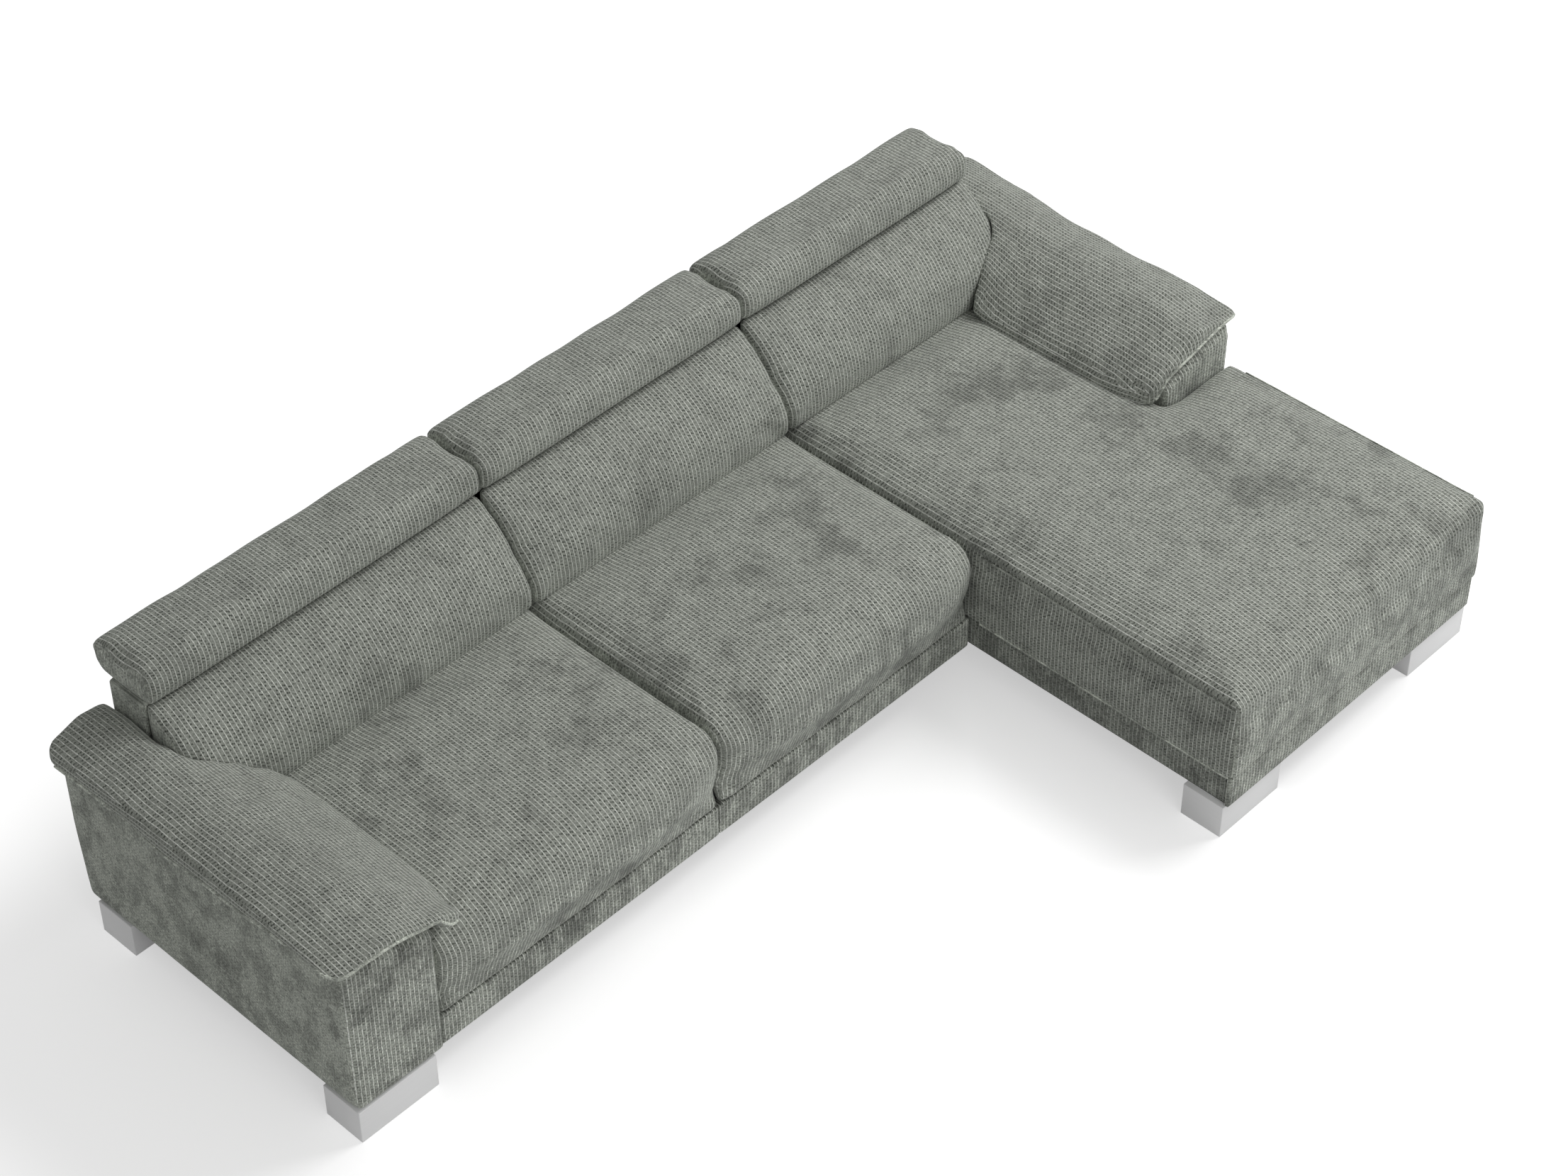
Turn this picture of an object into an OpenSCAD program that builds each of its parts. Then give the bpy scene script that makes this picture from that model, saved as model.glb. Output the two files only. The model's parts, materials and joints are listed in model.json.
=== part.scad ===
// Corner sofa: a two-seat part with a left arm, and a chaise part with a right arm.
// Three headrests fold up on click hinges. All sizes are in millimetres.
// +X runs from the left arm to the chaise, +Y to the back, +Z up.
// The origin lies on the floor, in the middle of the footprint.

/* [Plan] */
// Width of one seat bay
seat_w = 797; // [640:1:960]
// Width of the chaise bay, from the seats to the right arm
chaise_bay_w = 662; // [520:1:820]
// Width of an arm box
arm_w = 232; // [180:1:290]
// How far an arm pad stands out past its arm box
pad_over = 30; // [10:1:45]
// Depth of the body, from the plinth front to the rear cover
body_d = 830; // [800:1:960]
// How far the chaise reaches out in front of the plinth
chaise_out = 745; // [450:1:950]
// How far a headrest lies out past the rear cover when it is down
headrest_over = 50; // [20:1:70]
// Free depth of a seat, from the plinth front to the back cushion
seat_depth = 535; // [500:1:560]
// How far an arm box stands out in front of the plinth
arm_front_over = 10; // [0:1:30]
// How far an arm box stands out behind the rear cover
arm_rear_over = 14; // [0:1:30]
// How far a back cushion reaches out over the arm box beside it
wing_w = 102; // [60:1:130]

/* [Heights] */
// Height of the feet
foot_h = 90; // [60:1:140]
// Height of the plinth panels
plinth_h = 86; // [70:1:120]
// Height of a seat cushion at its edge, from the plinth up
cushion_h = 224; // [200:1:260]
// Crown of a seat cushion
seat_crown = 30; // [10:1:45]
// Height of an arm box over the seat edge, on the seat side
arm_rise = 50; // [30:1:90]
// Fall of an arm box's top from the outside to the seat side
arm_fall = 70; // [20:1:90]
// Height of a back cushion over the seat edge
back_rise = 234; // [220:1:300]
// Height of a headrest in its middle
headrest_h = 100; // [90:1:120]

/* [Cushions] */
// Radius of a seat cushion's front edge
seat_front_r = 70; // [40:1:90]
// Radius of a cushion's side edges
side_r = 18; // [10:1:26]
// How far the seat front swells out past the plinth
seat_swell = 42; // [20:1:60]
// How far the chaise cushion stands out past its base
base_in = 7; // [3:1:15]
// How far the chaise cushion stands out past the base on the arm side
chaise_side_over = 15; // [5:1:25]
// How far the back cushion leans back from its foot to its top
back_lean = 169; // [140:1:185]
// Extra fullness in the middle of a back cushion
back_swell = 16; // [5:1:25]
// Fall of a headrest's top towards its ends
headrest_fall = 14; // [5:1:20]
// Height of an arm pad's flat top over the arm box's outer edge
pad_rise = 37; // [25:1:50]
// Reach of the left arm pad over the seat, past its arm box
left_pad_reach = 93; // [40:1:130]
// Reach of the right arm pad over the chaise, past its arm box
right_pad_reach = 75; // [40:1:130]
// How far the left arm pad hangs out in front of its arm box
left_pad_front = 32; // [5:1:40]
// How far the right arm pad hangs out in front of its arm box
right_pad_front = 12; // [5:1:40]

/* [Frame] */
// Thickness of the seat and base rails
rail_t = 25; // [18:1:30]
// Height of the rails over the plinth's top
rail_up = 54; // [40:1:70]
// Thickness of the arm and upright boards
board_t = 18; // [15:1:22]
// Thickness of the sloping top board of an arm
arm_top_t = 12; // [9:1:16]
// Thickness of padding and fabric on the arm boxes
arm_pad_t = 15; // [10:1:20]
// Thickness of padding and fabric on the plinth panels of the seats
plinth_t = 25; // [15:1:30]
// Thickness of padding and fabric on the chaise base
panel_t = 12; // [8:1:18]
// Thickness of the padded rear cover
rear_t = 15; // [10:1:20]
// Depth of the back uprights
upright_d = 72; // [66:1:90]
// Height of the back's top and bottom rails
back_rail_h = 70; // [50:1:90]
// Radius of the upright edges of an arm box
arm_edge_r = 14; // [6:1:20]
// Radius at the bottom of an arm box's rear edge
arm_heel_r = 45; // [35:1:60]

/* [Springs and webbing] */
// Diameter of the zigzag spring wire
wire_d = 3.8; // [3:0.1:5]
// Number of springs under one seat
seat_springs_n = 4; // [3:1:6]
// Space between two chaise springs
chaise_spring_step = 150; // [110:1:200]
// Space between two runs of a zigzag spring, at the widest
spring_pitch = 52; // [44:1:70]
// Width of a zigzag spring
spring_w = 76; // [72:1:90]
// Width of a back webbing strap
strap_w = 60; // [40:1:75]
// Number of webbing straps behind one back cushion
straps_n = 4; // [3:1:5]

/* [Headrest hinges] */
// Distance of the hinge pins in front of the rear face
pin_in = 100; // [95:1:115]
// Distance of a hinge from its headrest's end
hinge_inset = 190; // [150:1:230]
// Radius of the headrest's nose, which turns round the hinge pins
nose_r = 50; // [44:1:55]
// Radius of a hinge pin
pin_r = 5; // [3:0.1:7]
// Thickness of the fixed hinge arm
fixed_arm_t = 5; // [4:0.5:8]
// Thickness of a folded hinge bracket's sheet
bracket_t = 3; // [2:0.5:4]
// Radius at the tips of the click teeth
tooth_tip_r = 22; // [19:0.5:25]
// Depth of the click teeth
tooth_depth = 2; // [1:0.1:3]
// Angle from one click tooth to the next
tooth_step = 7.5; // [5:0.5:15]
// Largest angle that a headrest turns up
headrest_turn = 75; // [45:1:75]

/* [Feet] */
// Width of a metal foot
foot_w = 206; // [150:1:230]
// Depth of a metal foot
foot_d = 108; // [80:1:130]
// Sheet thickness of a metal foot
foot_t = 3; // [2:0.5:6]
// Distance of the rear feet in front of the arm's rear face
foot_rear_in = 33; // [20:1:60]
// Diameter of a hidden support leg
leg_d = 50; // [30:1:60]
// Distance of the hidden legs behind the plinth front
leg_back = 120; // [100:1:200]

/* [Hidden] */
$fn = 48;
// Clearances: beside soft pieces, under what rests, round what turns
soft_gap = 1;
rest_gap = 0.3;
turn_gap = 0.08;
side_play = 0.3;

// Widths, from the left end to the right end
total_w = 2 * (pad_over + arm_w + seat_w) + chaise_bay_w;
arm_out_x = total_w / 2 - pad_over;
arm_in_x = arm_out_x - arm_w;
seat_x0 = -arm_in_x;
seat_x1 = seat_x0 + seat_w;
seat_x2 = seat_x1 + seat_w;
back_end_x = arm_in_x + wing_w;
bay_xs = [-back_end_x, seat_x1, seat_x2, back_end_x];

// Depths, from the chaise's nose to the rear
total_d = chaise_out + body_d + headrest_over;
nose_y = -total_d / 2;
front_y = nose_y + chaise_out;
rear_y = front_y + body_d;
arm_y0 = front_y - arm_front_over;
arm_y1 = rear_y + arm_rear_over;
back_rail_y = rear_y - rear_t - rail_t;
upright_y = back_rail_y - upright_d;
strap_t = 2;
strap_y = upright_y - strap_t;
soft_rear_y = strap_y - rest_gap;
back_foot_y = front_y + seat_depth;
rear_rail_y = upright_y - rail_t;
rail_front_y = front_y + plinth_t;

// Heights, from the floor up
seam_z = foot_h + plinth_h;
seat_z = seam_z + cushion_h;
arm_in_z = seat_z + arm_rise;
arm_out_z = arm_in_z + arm_fall;
back_z = seat_z + back_rise;
rail_z = seam_z + rail_up;
wire_z = rail_z + 0.1;
deck_z = wire_z + wire_d + rest_gap;
strip_t = 16;
strip_z = back_z - strip_t;

// Chaise base faces and rails
base_x0 = seat_x2 + base_in;
base_y0 = nose_y + base_in;
chaise_x1 = arm_out_x + chaise_side_over;
chaise_rail_x0 = base_x0 + panel_t;
chaise_rail_x1 = arm_out_x - panel_t;
chaise_rail_y0 = base_y0 + panel_t;

// Headrest hinge
hinge_gap = 2;
pin_y = rear_y - pin_in;
pin_z = back_z + hinge_gap + nose_r;
headrest_back = pin_in + headrest_over;
arm_bar_h = 12;
web_z = 4;
bracket_l = 104;
web_y = tooth_tip_r + 12;
headrest_board_t = 12;
headrest_board_y0 = 30;
headrest_board_y1 = 118;
connector_w = 60;
connector_h = 64;
connector_lift = 8;
connector_in = 160;
tongue_w = 20;
tongue_h = 40;
tongue_lift = 12;
stem_half = 8;
stem_l = 215;
disc_room = 4;
sector_wide = asin((stem_half + side_play) / (tooth_tip_r + disc_room));

WOOD = "burlywood";
PLY = "tan";
STEEL = "gainsboro";
SPRING = "dimgray";
FOAM = "khaki";
FABRIC = "darkseagreen";
SHEET = "dimgray";
BLACK = "black";

// A box between two corners
module block(low, high) {
  translate(low) cube(high - low);
}

// A flat outline in Y and Z, made solid from x0 to x1
module side_profile(x0, x1) {
  translate([x0, 0, 0]) rotate([90, 0, 90]) linear_extrude(x1 - x0) children();
}

// A flat outline in X and Z, made solid from y0 to y1
module front_profile(y0, y1) {
  translate([0, y1, 0]) rotate([90, 0, 0]) linear_extrude(y1 - y0) children();
}

// A rectangle with round corners
module round_rect(low, high, r) {
  translate([low[0] + r, low[1]]) square([high[0] - low[0] - 2 * r, high[1] - low[1]]);
  translate([low[0], low[1] + r]) square([high[0] - low[0], high[1] - low[1] - 2 * r]);
  for (x = [low[0] + r, high[0] - r], y = [low[1] + r, high[1] - r])
    translate([x, y]) circle(r);
}

// The left or right copy of a piece that is drawn for the left arm
module on_side(right) {
  if (right) mirror([1, 0, 0]) children();
  else children();
}

// Middle of a ring of points
function middle(points) = [for (k = [0:2]) sum([for (p = points) p[k]]) / len(points)];
function sum(list, i = 0) = i >= len(list) ? 0 : list[i] + sum(list, i + 1);

// A flat end on a ring of m points: a fan of triangles from point c
function fan(m, c) = [for (j = [0:m - 1]) [c, j, (j + 1) % m]];

// A flat end on a bent ring of m points: a ladder of triangles between its two halves
function ladder(m) = [for (j = [0:floor((m - 3) / 2)])
  let (k = m - 1 - j)
  each k - 1 > j + 1 ? [[j, j + 1, k - 1], [j, k - 1, k]] : [[j, j + 1, k]]];

// A closed skin through rings of points, with flat ends.
// The rings turn anticlockwise as seen from the last ring.
module skin(rings, bent = false) {
  n = len(rings);
  m = len(rings[0]);
  last = (n - 1) * m;
  centres = bent ? [] : [middle(rings[0]), middle(rings[n - 1])];
  walls = [for (i = [0:n - 2], j = [0:m - 1])
    let (a = i * m + j, b = i * m + (j + 1) % m, c = a + m, d = b + m)
    each [[a, c, b], [b, c, d]]];
  start_cap = bent ? ladder(m) : fan(m, n * m);
  end_cap = [for (t = bent ? ladder(m) : fan(m, n * m + 1 - last))
    [last + t[0], last + t[2], last + t[1]]];
  points = concat([for (ring = rings) each ring], centres);
  polyhedron(points, concat(walls, start_cap, end_cap), convexity = 8);
}

// Fullness over a width: 1 in the middle, 0 at both ends
function fullness(x, x0, x1, power = 2.6) = 1 - pow(abs(2 * (x - x0) / (x1 - x0) - 1), power);

// How far a round end of radius r is drawn in at distance d from the end
function round_in(d, r) = d >= r ? 0 : r - sqrt(r * r - (r - d) * (r - d));

// Stations along a soft piece: close together at its round ends
function stations(a, b, r, n) = concat(
  [for (t = [0, 0.15, 0.5]) a + r * t],
  [for (i = [0:n]) a + r + (b - a - 2 * r) * i / n],
  [for (t = [0.5, 0.15, 0]) b - r * t]);

// Height of a seat crown at distance d from the edge, on a cushion of half width half
function crown_at(d, half) = seat_crown * (1 - pow(1 - min(max(d, 0) / half, 1), 2));

// A plan ring of a box cushion: corner radius r, three points a corner, two more a side
function plan_ring(x0, x1, y0, y1, r, z) =
  let (corners = [
    [x1 - r, y0 + r, -90],
    [x1 - r, y1 - r, 0],
    [x0 + r, y1 - r, 90],
    [x0 + r, y0 + r, 180]])
  [for (k = [0:3])
    let (c = corners[k], d = corners[(k + 1) % 4])
    let (a = [c[0] + r * cos(c[2] + 90), c[1] + r * sin(c[2] + 90)])
    let (b = [d[0] + r * cos(d[2]), d[1] + r * sin(d[2])])
    each concat(
      [for (t = [0, 45, 90]) [c[0] + r * cos(c[2] + t), c[1] + r * sin(c[2] + t), z]],
      [for (t = [1 / 3, 2 / 3]) [a[0] + (b[0] - a[0]) * t, a[1] + (b[1] - a[1]) * t, z]])];

// A box cushion: drawn in at its bottom seam, round at the front, crowned on top.
// The crown stops at crown_y1, where a back cushion stands on the flat rear part.
module box_cushion(x0, x1, y0, y1, crown_y1, swell) {
  tuck = 6;
  flat_r = seat_front_r;
  corner_r = side_r + 6;
  z_turn = seat_z - flat_r;
  z_swell = seam_z + (z_turn - seam_z) * 0.7;
  walls = [
    [seam_z, swell + tuck, tuck],
    [seam_z + 10, swell * 0.72, 1],
    [z_swell, swell * 0.12, 0],
    [z_turn, 0, 0]];
  turn = [for (t = [22.5, 45, 67.5, 82])
    let (z = z_turn + flat_r * sin(t))
    [z, flat_r * (1 - cos(t)), round_in(max(seat_z - z, 0), side_r)]];
  edge = [seat_z, flat_r, side_r];
  levels = concat(walls, turn, [edge]);
  half = min((x1 - x0) / 2 - side_r, (crown_y1 - y0 - flat_r) / 2);
  skin(concat(
    [for (l = levels)
      let (rear = l[0] == seat_z ? crown_y1 : y1)
      plan_ring(x0 + l[2], x1 - l[2], y0 + l[1], rear, corner_r, l[0])],
    [for (f = [0.12, 0.3, 0.55, 0.85])
      let (d = f * (half - corner_r - 1), z = seat_z + crown_at(d, half))
      plan_ring(x0 + side_r + d, x1 - side_r - d, y0 + flat_r + d, crown_y1 - d, corner_r, z)]));
}

// Outline of an arm box from the front: u runs from its outer face to the seat
module arm_outline(drop = 0, u0 = 0, u1 = arm_w, z0 = foot_h) {
  slope = arm_fall / arm_w;
  polygon([
    [u0 - arm_out_x, z0],
    [u1 - arm_out_x, z0],
    [u1 - arm_out_x, arm_out_z - slope * u1 - drop],
    [u0 - arm_out_x, arm_out_z - slope * u0 - drop]]);
}

// Outline of an arm box from the side, with its round heel, drawn in by t
module arm_side_outline(t) {
  top = arm_out_z + 1;
  heel_y = arm_y1 - arm_heel_r;
  heel_z = foot_h + arm_heel_r;
  translate([arm_y0 + t, foot_h]) square([heel_y - arm_y0 - t, top - foot_h]);
  translate([arm_y0 + t, heel_z]) square([arm_y1 - arm_y0 - 2 * t, top - heel_z]);
  translate([heel_y, heel_z]) circle(arm_heel_r - t);
}

// The room for the arm's boards, drop below the sloping top of the box
module arm_room(drop) {
  intersection() {
    front_profile(arm_y0 + arm_pad_t, arm_y1 - arm_pad_t)
      arm_outline(drop, arm_pad_t, arm_w - arm_pad_t);
    side_profile(-arm_out_x, -arm_in_x) arm_side_outline(arm_pad_t);
  }
}

board_u0 = arm_pad_t;
board_u1 = arm_w - arm_pad_t;
arm_floor_z = foot_h + board_t;
under_top = arm_pad_t + arm_top_t;

module arm_board(u0, u1, y0, y1, z0) {
  intersection() {
    arm_room(under_top);
    block([u0 - arm_out_x, y0, z0], [u1 - arm_out_x, y1, arm_out_z]);
  }
}

module arm_outer_board(right) {
  color(PLY) on_side(right)
    arm_board(board_u0, board_u0 + board_t, arm_y0, arm_y1, arm_floor_z);
}

module arm_inner_board(right) {
  color(PLY) on_side(right)
    arm_board(board_u1 - board_t, board_u1, arm_y0, arm_y1, arm_floor_z);
}

module arm_end_boards(right) {
  front = arm_y0 + arm_pad_t;
  rear = arm_y1 - arm_pad_t - board_t;
  for (end = [[front, arm_floor_z], [rear, foot_h + arm_heel_r]])
    color(PLY) on_side(right)
      arm_board(board_u0 + board_t, board_u1 - board_t, end[0], end[0] + board_t, end[1]);
}

module arm_top_board(right) {
  color(PLY) on_side(right) difference() {
    arm_room(arm_pad_t);
    front_profile(arm_y0, arm_y1) arm_outline(under_top, 0, arm_w, 0);
  }
}

module arm_base_board(right) {
  color(PLY) on_side(right)
    block([board_u0 - arm_out_x, arm_y0 + arm_pad_t, foot_h],
          [board_u1 - arm_out_x, arm_y1 - arm_heel_r, arm_floor_z]);
}

// The padded fabric box round the arm's boards, open underneath
module arm_cover(right) {
  color(FABRIC) on_side(right) difference() {
    intersection() {
      front_profile(arm_y0, arm_y1) arm_outline();
      side_profile(-arm_out_x, -arm_in_x) arm_side_outline(0);
      linear_extrude(arm_out_z)
        round_rect([-arm_out_x, arm_y0], [-arm_in_x, arm_y1], arm_edge_r);
    }
    arm_room(arm_pad_t);
  }
}

// Top of an arm pad: flat from its outer edge, then falling to its inner edge over the seat
pad_top_z = arm_out_z + pad_rise;
pad_flat_u = arm_w * 0.45;
pad_fall_curve = 1.28;
pad_edge_z = seat_z + 42;

// Height of an arm pad's top, u from the arm's outer face, reach to its inner edge
function pad_top(u, reach) =
  let (t = min(max((u - pad_flat_u) / (arm_w + reach - pad_flat_u), 0), 1))
  pad_top_z - (pad_top_z - pad_edge_z) * pow(t, pad_fall_curve);

// Height of an arm pad's underside: along the arm's top, then over the cushion
function pad_under(u, lift) = u <= arm_w + rest_gap
  ? arm_out_z - arm_fall * u / arm_w + rest_gap
  : seat_z + lift + soft_gap;

// Points over an arm pad's top, from its inner edge to its outer edge: place, fall at the edge
function pad_tops(reach) = [
  [arm_w + reach, 16],
  [arm_w + reach - 6, 6],
  [arm_w + reach * 0.5, 0],
  [arm_w, 0],
  [arm_w * 0.75, 0],
  [pad_flat_u, 0],
  [arm_w * 0.3, 0],
  [0, 0],
  [-pad_over * 0.6, 8],
  [-pad_over, 19]];

// Points under an arm pad, from its outer edge to its inner edge
function pad_unders(reach) = [
  0,
  arm_w * 0.15,
  arm_w * 0.35,
  pad_flat_u,
  arm_w * 0.75,
  arm_w + rest_gap,
  arm_w + 4 * rest_gap,
  arm_w + reach * 0.5,
  arm_w + reach - 3];

// One ring of an arm pad: thick is 1 in the middle and less near its ends
function pad_ring(y, reach, lift, thick) = concat(
  [[-pad_over * 0.6 - arm_out_x, y, arm_out_z + 5]],
  [for (u = pad_unders(reach)) [u - arm_out_x, y, pad_under(u, lift)]],
  [for (p = pad_tops(reach))
    let (low = pad_under(p[0], lift))
    [p[0] - arm_out_x, y, low + (pad_top(p[0], reach) - p[1] - low) * thick]]);

// A loose arm pad, cut round the back cushion beside it
module arm_pad(right, reach, front, lift) {
  y0 = arm_y0 - front;
  y1 = arm_y1 - 8;
  ends_r = 34;
  cut_y = arm_y1 + 50;
  cut_zs = [seat_z - 33, seat_z + 37, seat_z + 97, seat_z + 153, back_z + 10];
  face_gap = back_swell + soft_gap + 5;
  color(FABRIC) on_side(right) difference() {
    skin([for (y = stations(y0, y1, ends_r, 7))
      let (thin = 0.6 * round_in(min(y - y0, y1 - y), ends_r) / ends_r)
      pad_ring(y1 + y0 - y, reach, lift, 1 - thin)], bent = true);
    side_profile(-back_end_x - soft_gap, -arm_in_x + reach + 50)
      polygon(concat(
        [for (z = cut_zs) [back_face_y(z) - face_gap, z]],
        [[cut_y, cut_zs[4]], [cut_y, cut_zs[0]]]));
  }
}

// The front face of a back cushion, before it swells or is drawn in
function back_face_y(z) = back_foot_y + back_lean * pow(max((z - seat_z) / back_rise, 0), 2);

// A back cushion from x0 to x1
module back_cushion(x0, x1) {
  end_r = 22;
  foot = 10;
  low_z = seat_z + rest_gap;
  heights = [for (t = [0.06, 0.2, 0.36, 0.52, 0.68, 0.84, 0.96]) low_z + (back_z - low_z) * t];
  top_y = back_foot_y + back_lean;
  skin([for (x = stations(x0 + soft_gap, x1 - soft_gap, end_r, 8))
    let (draw = round_in(min(x - x0 - soft_gap, x1 - soft_gap - x), end_r))
    let (full = back_swell * fullness(x, x0 + soft_gap, x1 - soft_gap))
    let (top_fall = draw * 0.4)
    concat(
      [[x, soft_rear_y, low_z], [x, soft_rear_y, (low_z + back_z) / 2], [x, soft_rear_y, back_z - top_fall]],
      [[x, top_y + draw * 0.2, back_z - top_fall]],
      [for (i = [6:-1:0])
        let (z = heights[i], t = (z - low_z) / (back_z - low_z))
        [x, min(back_face_y(z) - full * sin(180 * t) + draw, top_y), min(z, back_z - top_fall - 1)]],
      [[x, back_foot_y + foot + draw, low_z], [x, (back_foot_y + soft_rear_y) / 2, low_z]])]);
}

// The space over an arm box that a wing of the back keeps clear of
module arm_below(right) {
  on_side(right)
    front_profile(nose_y, arm_y1 + 50) arm_outline(-rest_gap, -pad_over, arm_w + rest_gap, 0);
}

module back_cushion_left() {
  color(FABRIC) difference() {
    back_cushion(bay_xs[0], bay_xs[1]);
    arm_below(false);
  }
}

module back_cushion_middle() {
  color(FABRIC) back_cushion(bay_xs[1], bay_xs[2]);
}

module back_cushion_right() {
  color(FABRIC) difference() {
    back_cushion(bay_xs[2], bay_xs[3]);
    arm_below(true);
  }
}

// Where the two hinges of a bay lie
function hinge_xs(bay) = [bay_xs[bay] + hinge_inset, bay_xs[bay + 1] - hinge_inset];
all_hinge_xs = [for (bay = [0:2]) each hinge_xs(bay)];

// One ring of a headrest: round the pin at the front, tighter corners behind
function headrest_ring(x, draw, rise) =
  let (rear_r = 30, k = 1 - draw / nose_r, mid_y = (headrest_back - nose_r) / 2)
  let (rear = headrest_back - rear_r)
  let (outline = concat(
    [for (a = [-90:18:18]) [rear + rear_r * cos(a), -nose_r + rear_r + rear_r * sin(a)]],
    [for (a = [18:24:90]) [rear + rear_r * cos(a), rise - rear_r + rear_r * sin(a)]],
    [[rear * 0.5, rise]],
    [for (a = [90:18:180]) [nose_r * cos(a), rise * sin(a)]],
    [for (a = [198:18:270]) [nose_r * cos(a), nose_r * sin(a)]],
    [[rear * 0.5, -nose_r]]))
  [for (p = outline) [x, pin_y + mid_y + (p[0] - mid_y) * k, pin_z + p[1] * k]];

// The hollow that a hinge needs inside a headrest, round x = 0 and the pin
module hinge_pocket() {
  half = fixed_arm_t / 2 + side_play + bracket_t + rest_gap;
  reach = nose_r + 12;
  a0 = 270 - headrest_turn - sector_wide;
  a1 = 270 + sector_wide;
  side_profile(-half, half) {
    circle(tooth_tip_r + disc_room);
    polygon(concat(
      [[0, 0]],
      [for (i = [0:6]) let (a = a0 + (a1 - a0) * i / 6) reach * [cos(a), sin(a)]]));
    translate([0, -arm_bar_h - rest_gap])
      square([bracket_l + rest_gap, arm_bar_h + web_z + bracket_t + rest_gap]);
  }
}

module headrest_cushion(bay) {
  x0 = bay_xs[bay] + soft_gap;
  x1 = bay_xs[bay + 1] - soft_gap;
  end_r = 24;
  top = headrest_h - nose_r;
  color(FABRIC) difference() {
    skin([for (x = stations(x0, x1, end_r, 8))
      headrest_ring(x, round_in(min(x - x0, x1 - x), end_r) * 0.55,
        top - headrest_fall + headrest_fall * fullness(x, x0, x1, 2.2))]);
    for (x = hinge_xs(bay)) translate([x, pin_y, pin_z]) hinge_pocket();
    headrest_board_box(bay);
  }
}

// The plywood board inside a headrest
module headrest_board_box(bay) {
  end_in = 40;
  z0 = pin_z + web_z + bracket_t;
  block([bay_xs[bay] + end_in, pin_y + headrest_board_y0, z0],
        [bay_xs[bay + 1] - end_in, pin_y + headrest_board_y1, z0 + headrest_board_t]);
}

module headrest_board(bay) {
  color(PLY) headrest_board_box(bay);
}

// A folded sheet bracket: two cheeks on the pin, joined by a web under the board
module headrest_brackets(bay) {
  inner = fixed_arm_t / 2 + side_play;
  cheek_r = 17;
  color(STEEL) for (x = hinge_xs(bay)) translate([x, pin_y, pin_z]) {
    for (s = [-inner - bracket_t, inner])
      side_profile(s, s + bracket_t) difference() {
        union() {
          circle(cheek_r);
          translate([0, -arm_bar_h]) square([bracket_l, arm_bar_h + web_z + bracket_t]);
        }
        circle(pin_r);
      }
    block([-inner, web_y, web_z], [inner, bracket_l, web_z + bracket_t]);
  }
}

module headrest_pins(bay) {
  half = fixed_arm_t / 2 + side_play + bracket_t;
  color(STEEL) for (x = hinge_xs(bay))
    translate([x - half, pin_y, pin_z]) rotate([0, 90, 0]) cylinder(r = pin_r, h = 2 * half);
}

// A leaf spring under the bracket's web, whose nose rides on the click teeth
module click_springs(bay) {
  leaf_t = 1.4;
  leaf_end = web_y + 26;
  nose_y0 = tooth_tip_r + side_play;
  color(SPRING) for (x = hinge_xs(bay)) translate([x, pin_y, pin_z])
    side_profile(-fixed_arm_t / 2, fixed_arm_t / 2)
      polygon([
        [leaf_end, web_z],
        [web_y + 1, web_z],
        [web_y - 5, web_z - 1.5],
        [nose_y0 + 2.5, -1],
        [nose_y0, -1.5],
        [nose_y0 + 0.6, -3.2],
        [nose_y0 + 3.4, -3.4],
        [web_y - 4, web_z - 1.5 - leaf_t],
        [web_y + 2, web_z - leaf_t],
        [leaf_end, web_z - leaf_t]]);
}

// A fixed hinge arm: a stem on the back upright, and a toothed disc on the pin
module hinge_fixed_arms() {
  first = -20;
  teeth = floor((headrest_turn - 2 * first) / tooth_step);
  root_r = tooth_tip_r - tooth_depth;
  color(STEEL) for (x = all_hinge_xs) translate([x, pin_y, pin_z])
    side_profile(-fixed_arm_t / 2, fixed_arm_t / 2) difference() {
      union() {
        circle(root_r);
        polygon(concat([[0, 0]], [for (i = [0:teeth - 1])
          let (a = first + i * tooth_step, tip = a + tooth_step / 4)
          each [root_r * [cos(a), sin(a)], tooth_tip_r * [cos(tip), sin(tip)]]]));
        translate([-stem_half, -stem_l]) square([2 * stem_half, stem_l - pin_r - 1]);
      }
      circle(pin_r + turn_gap);
    }
}

// The wooden uprights of the back, one beside each hinge arm
module back_uprights() {
  color(WOOD) for (x = all_hinge_xs)
    block([x + fixed_arm_t / 2, upright_y, foot_h],
          [x + fixed_arm_t / 2 + board_t, back_rail_y, strip_z]);
}

// Top and bottom rails of both parts' backs
module back_rails() {
  end_x = back_end_x - panel_t;
  join_x = seat_x2 - soft_gap;
  rear = back_rail_y + rail_t;
  color(WOOD) {
    for (xs = [[-end_x, join_x], [seat_x2, end_x]])
      block([xs[0], back_rail_y, strip_z - back_rail_h], [xs[1], rear, strip_z]);
    for (xs = [[seat_x0, join_x], [seat_x2, arm_in_x]])
      block([xs[0], back_rail_y, foot_h], [xs[1], rear, foot_h + back_rail_h]);
  }
}

// Webbing straps stretched over the uprights
module back_webbing() {
  low = rail_z + 50;
  step = (strip_z - low - strap_w) / (straps_n - 1);
  color(SHEET) for (bay = [0:2], i = [0:straps_n - 1])
    block([hinge_xs(bay)[0] + fixed_arm_t / 2, strap_y, low + i * step],
          [hinge_xs(bay)[1] + fixed_arm_t / 2 + board_t, upright_y, low + i * step + strap_w]);
}

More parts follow.
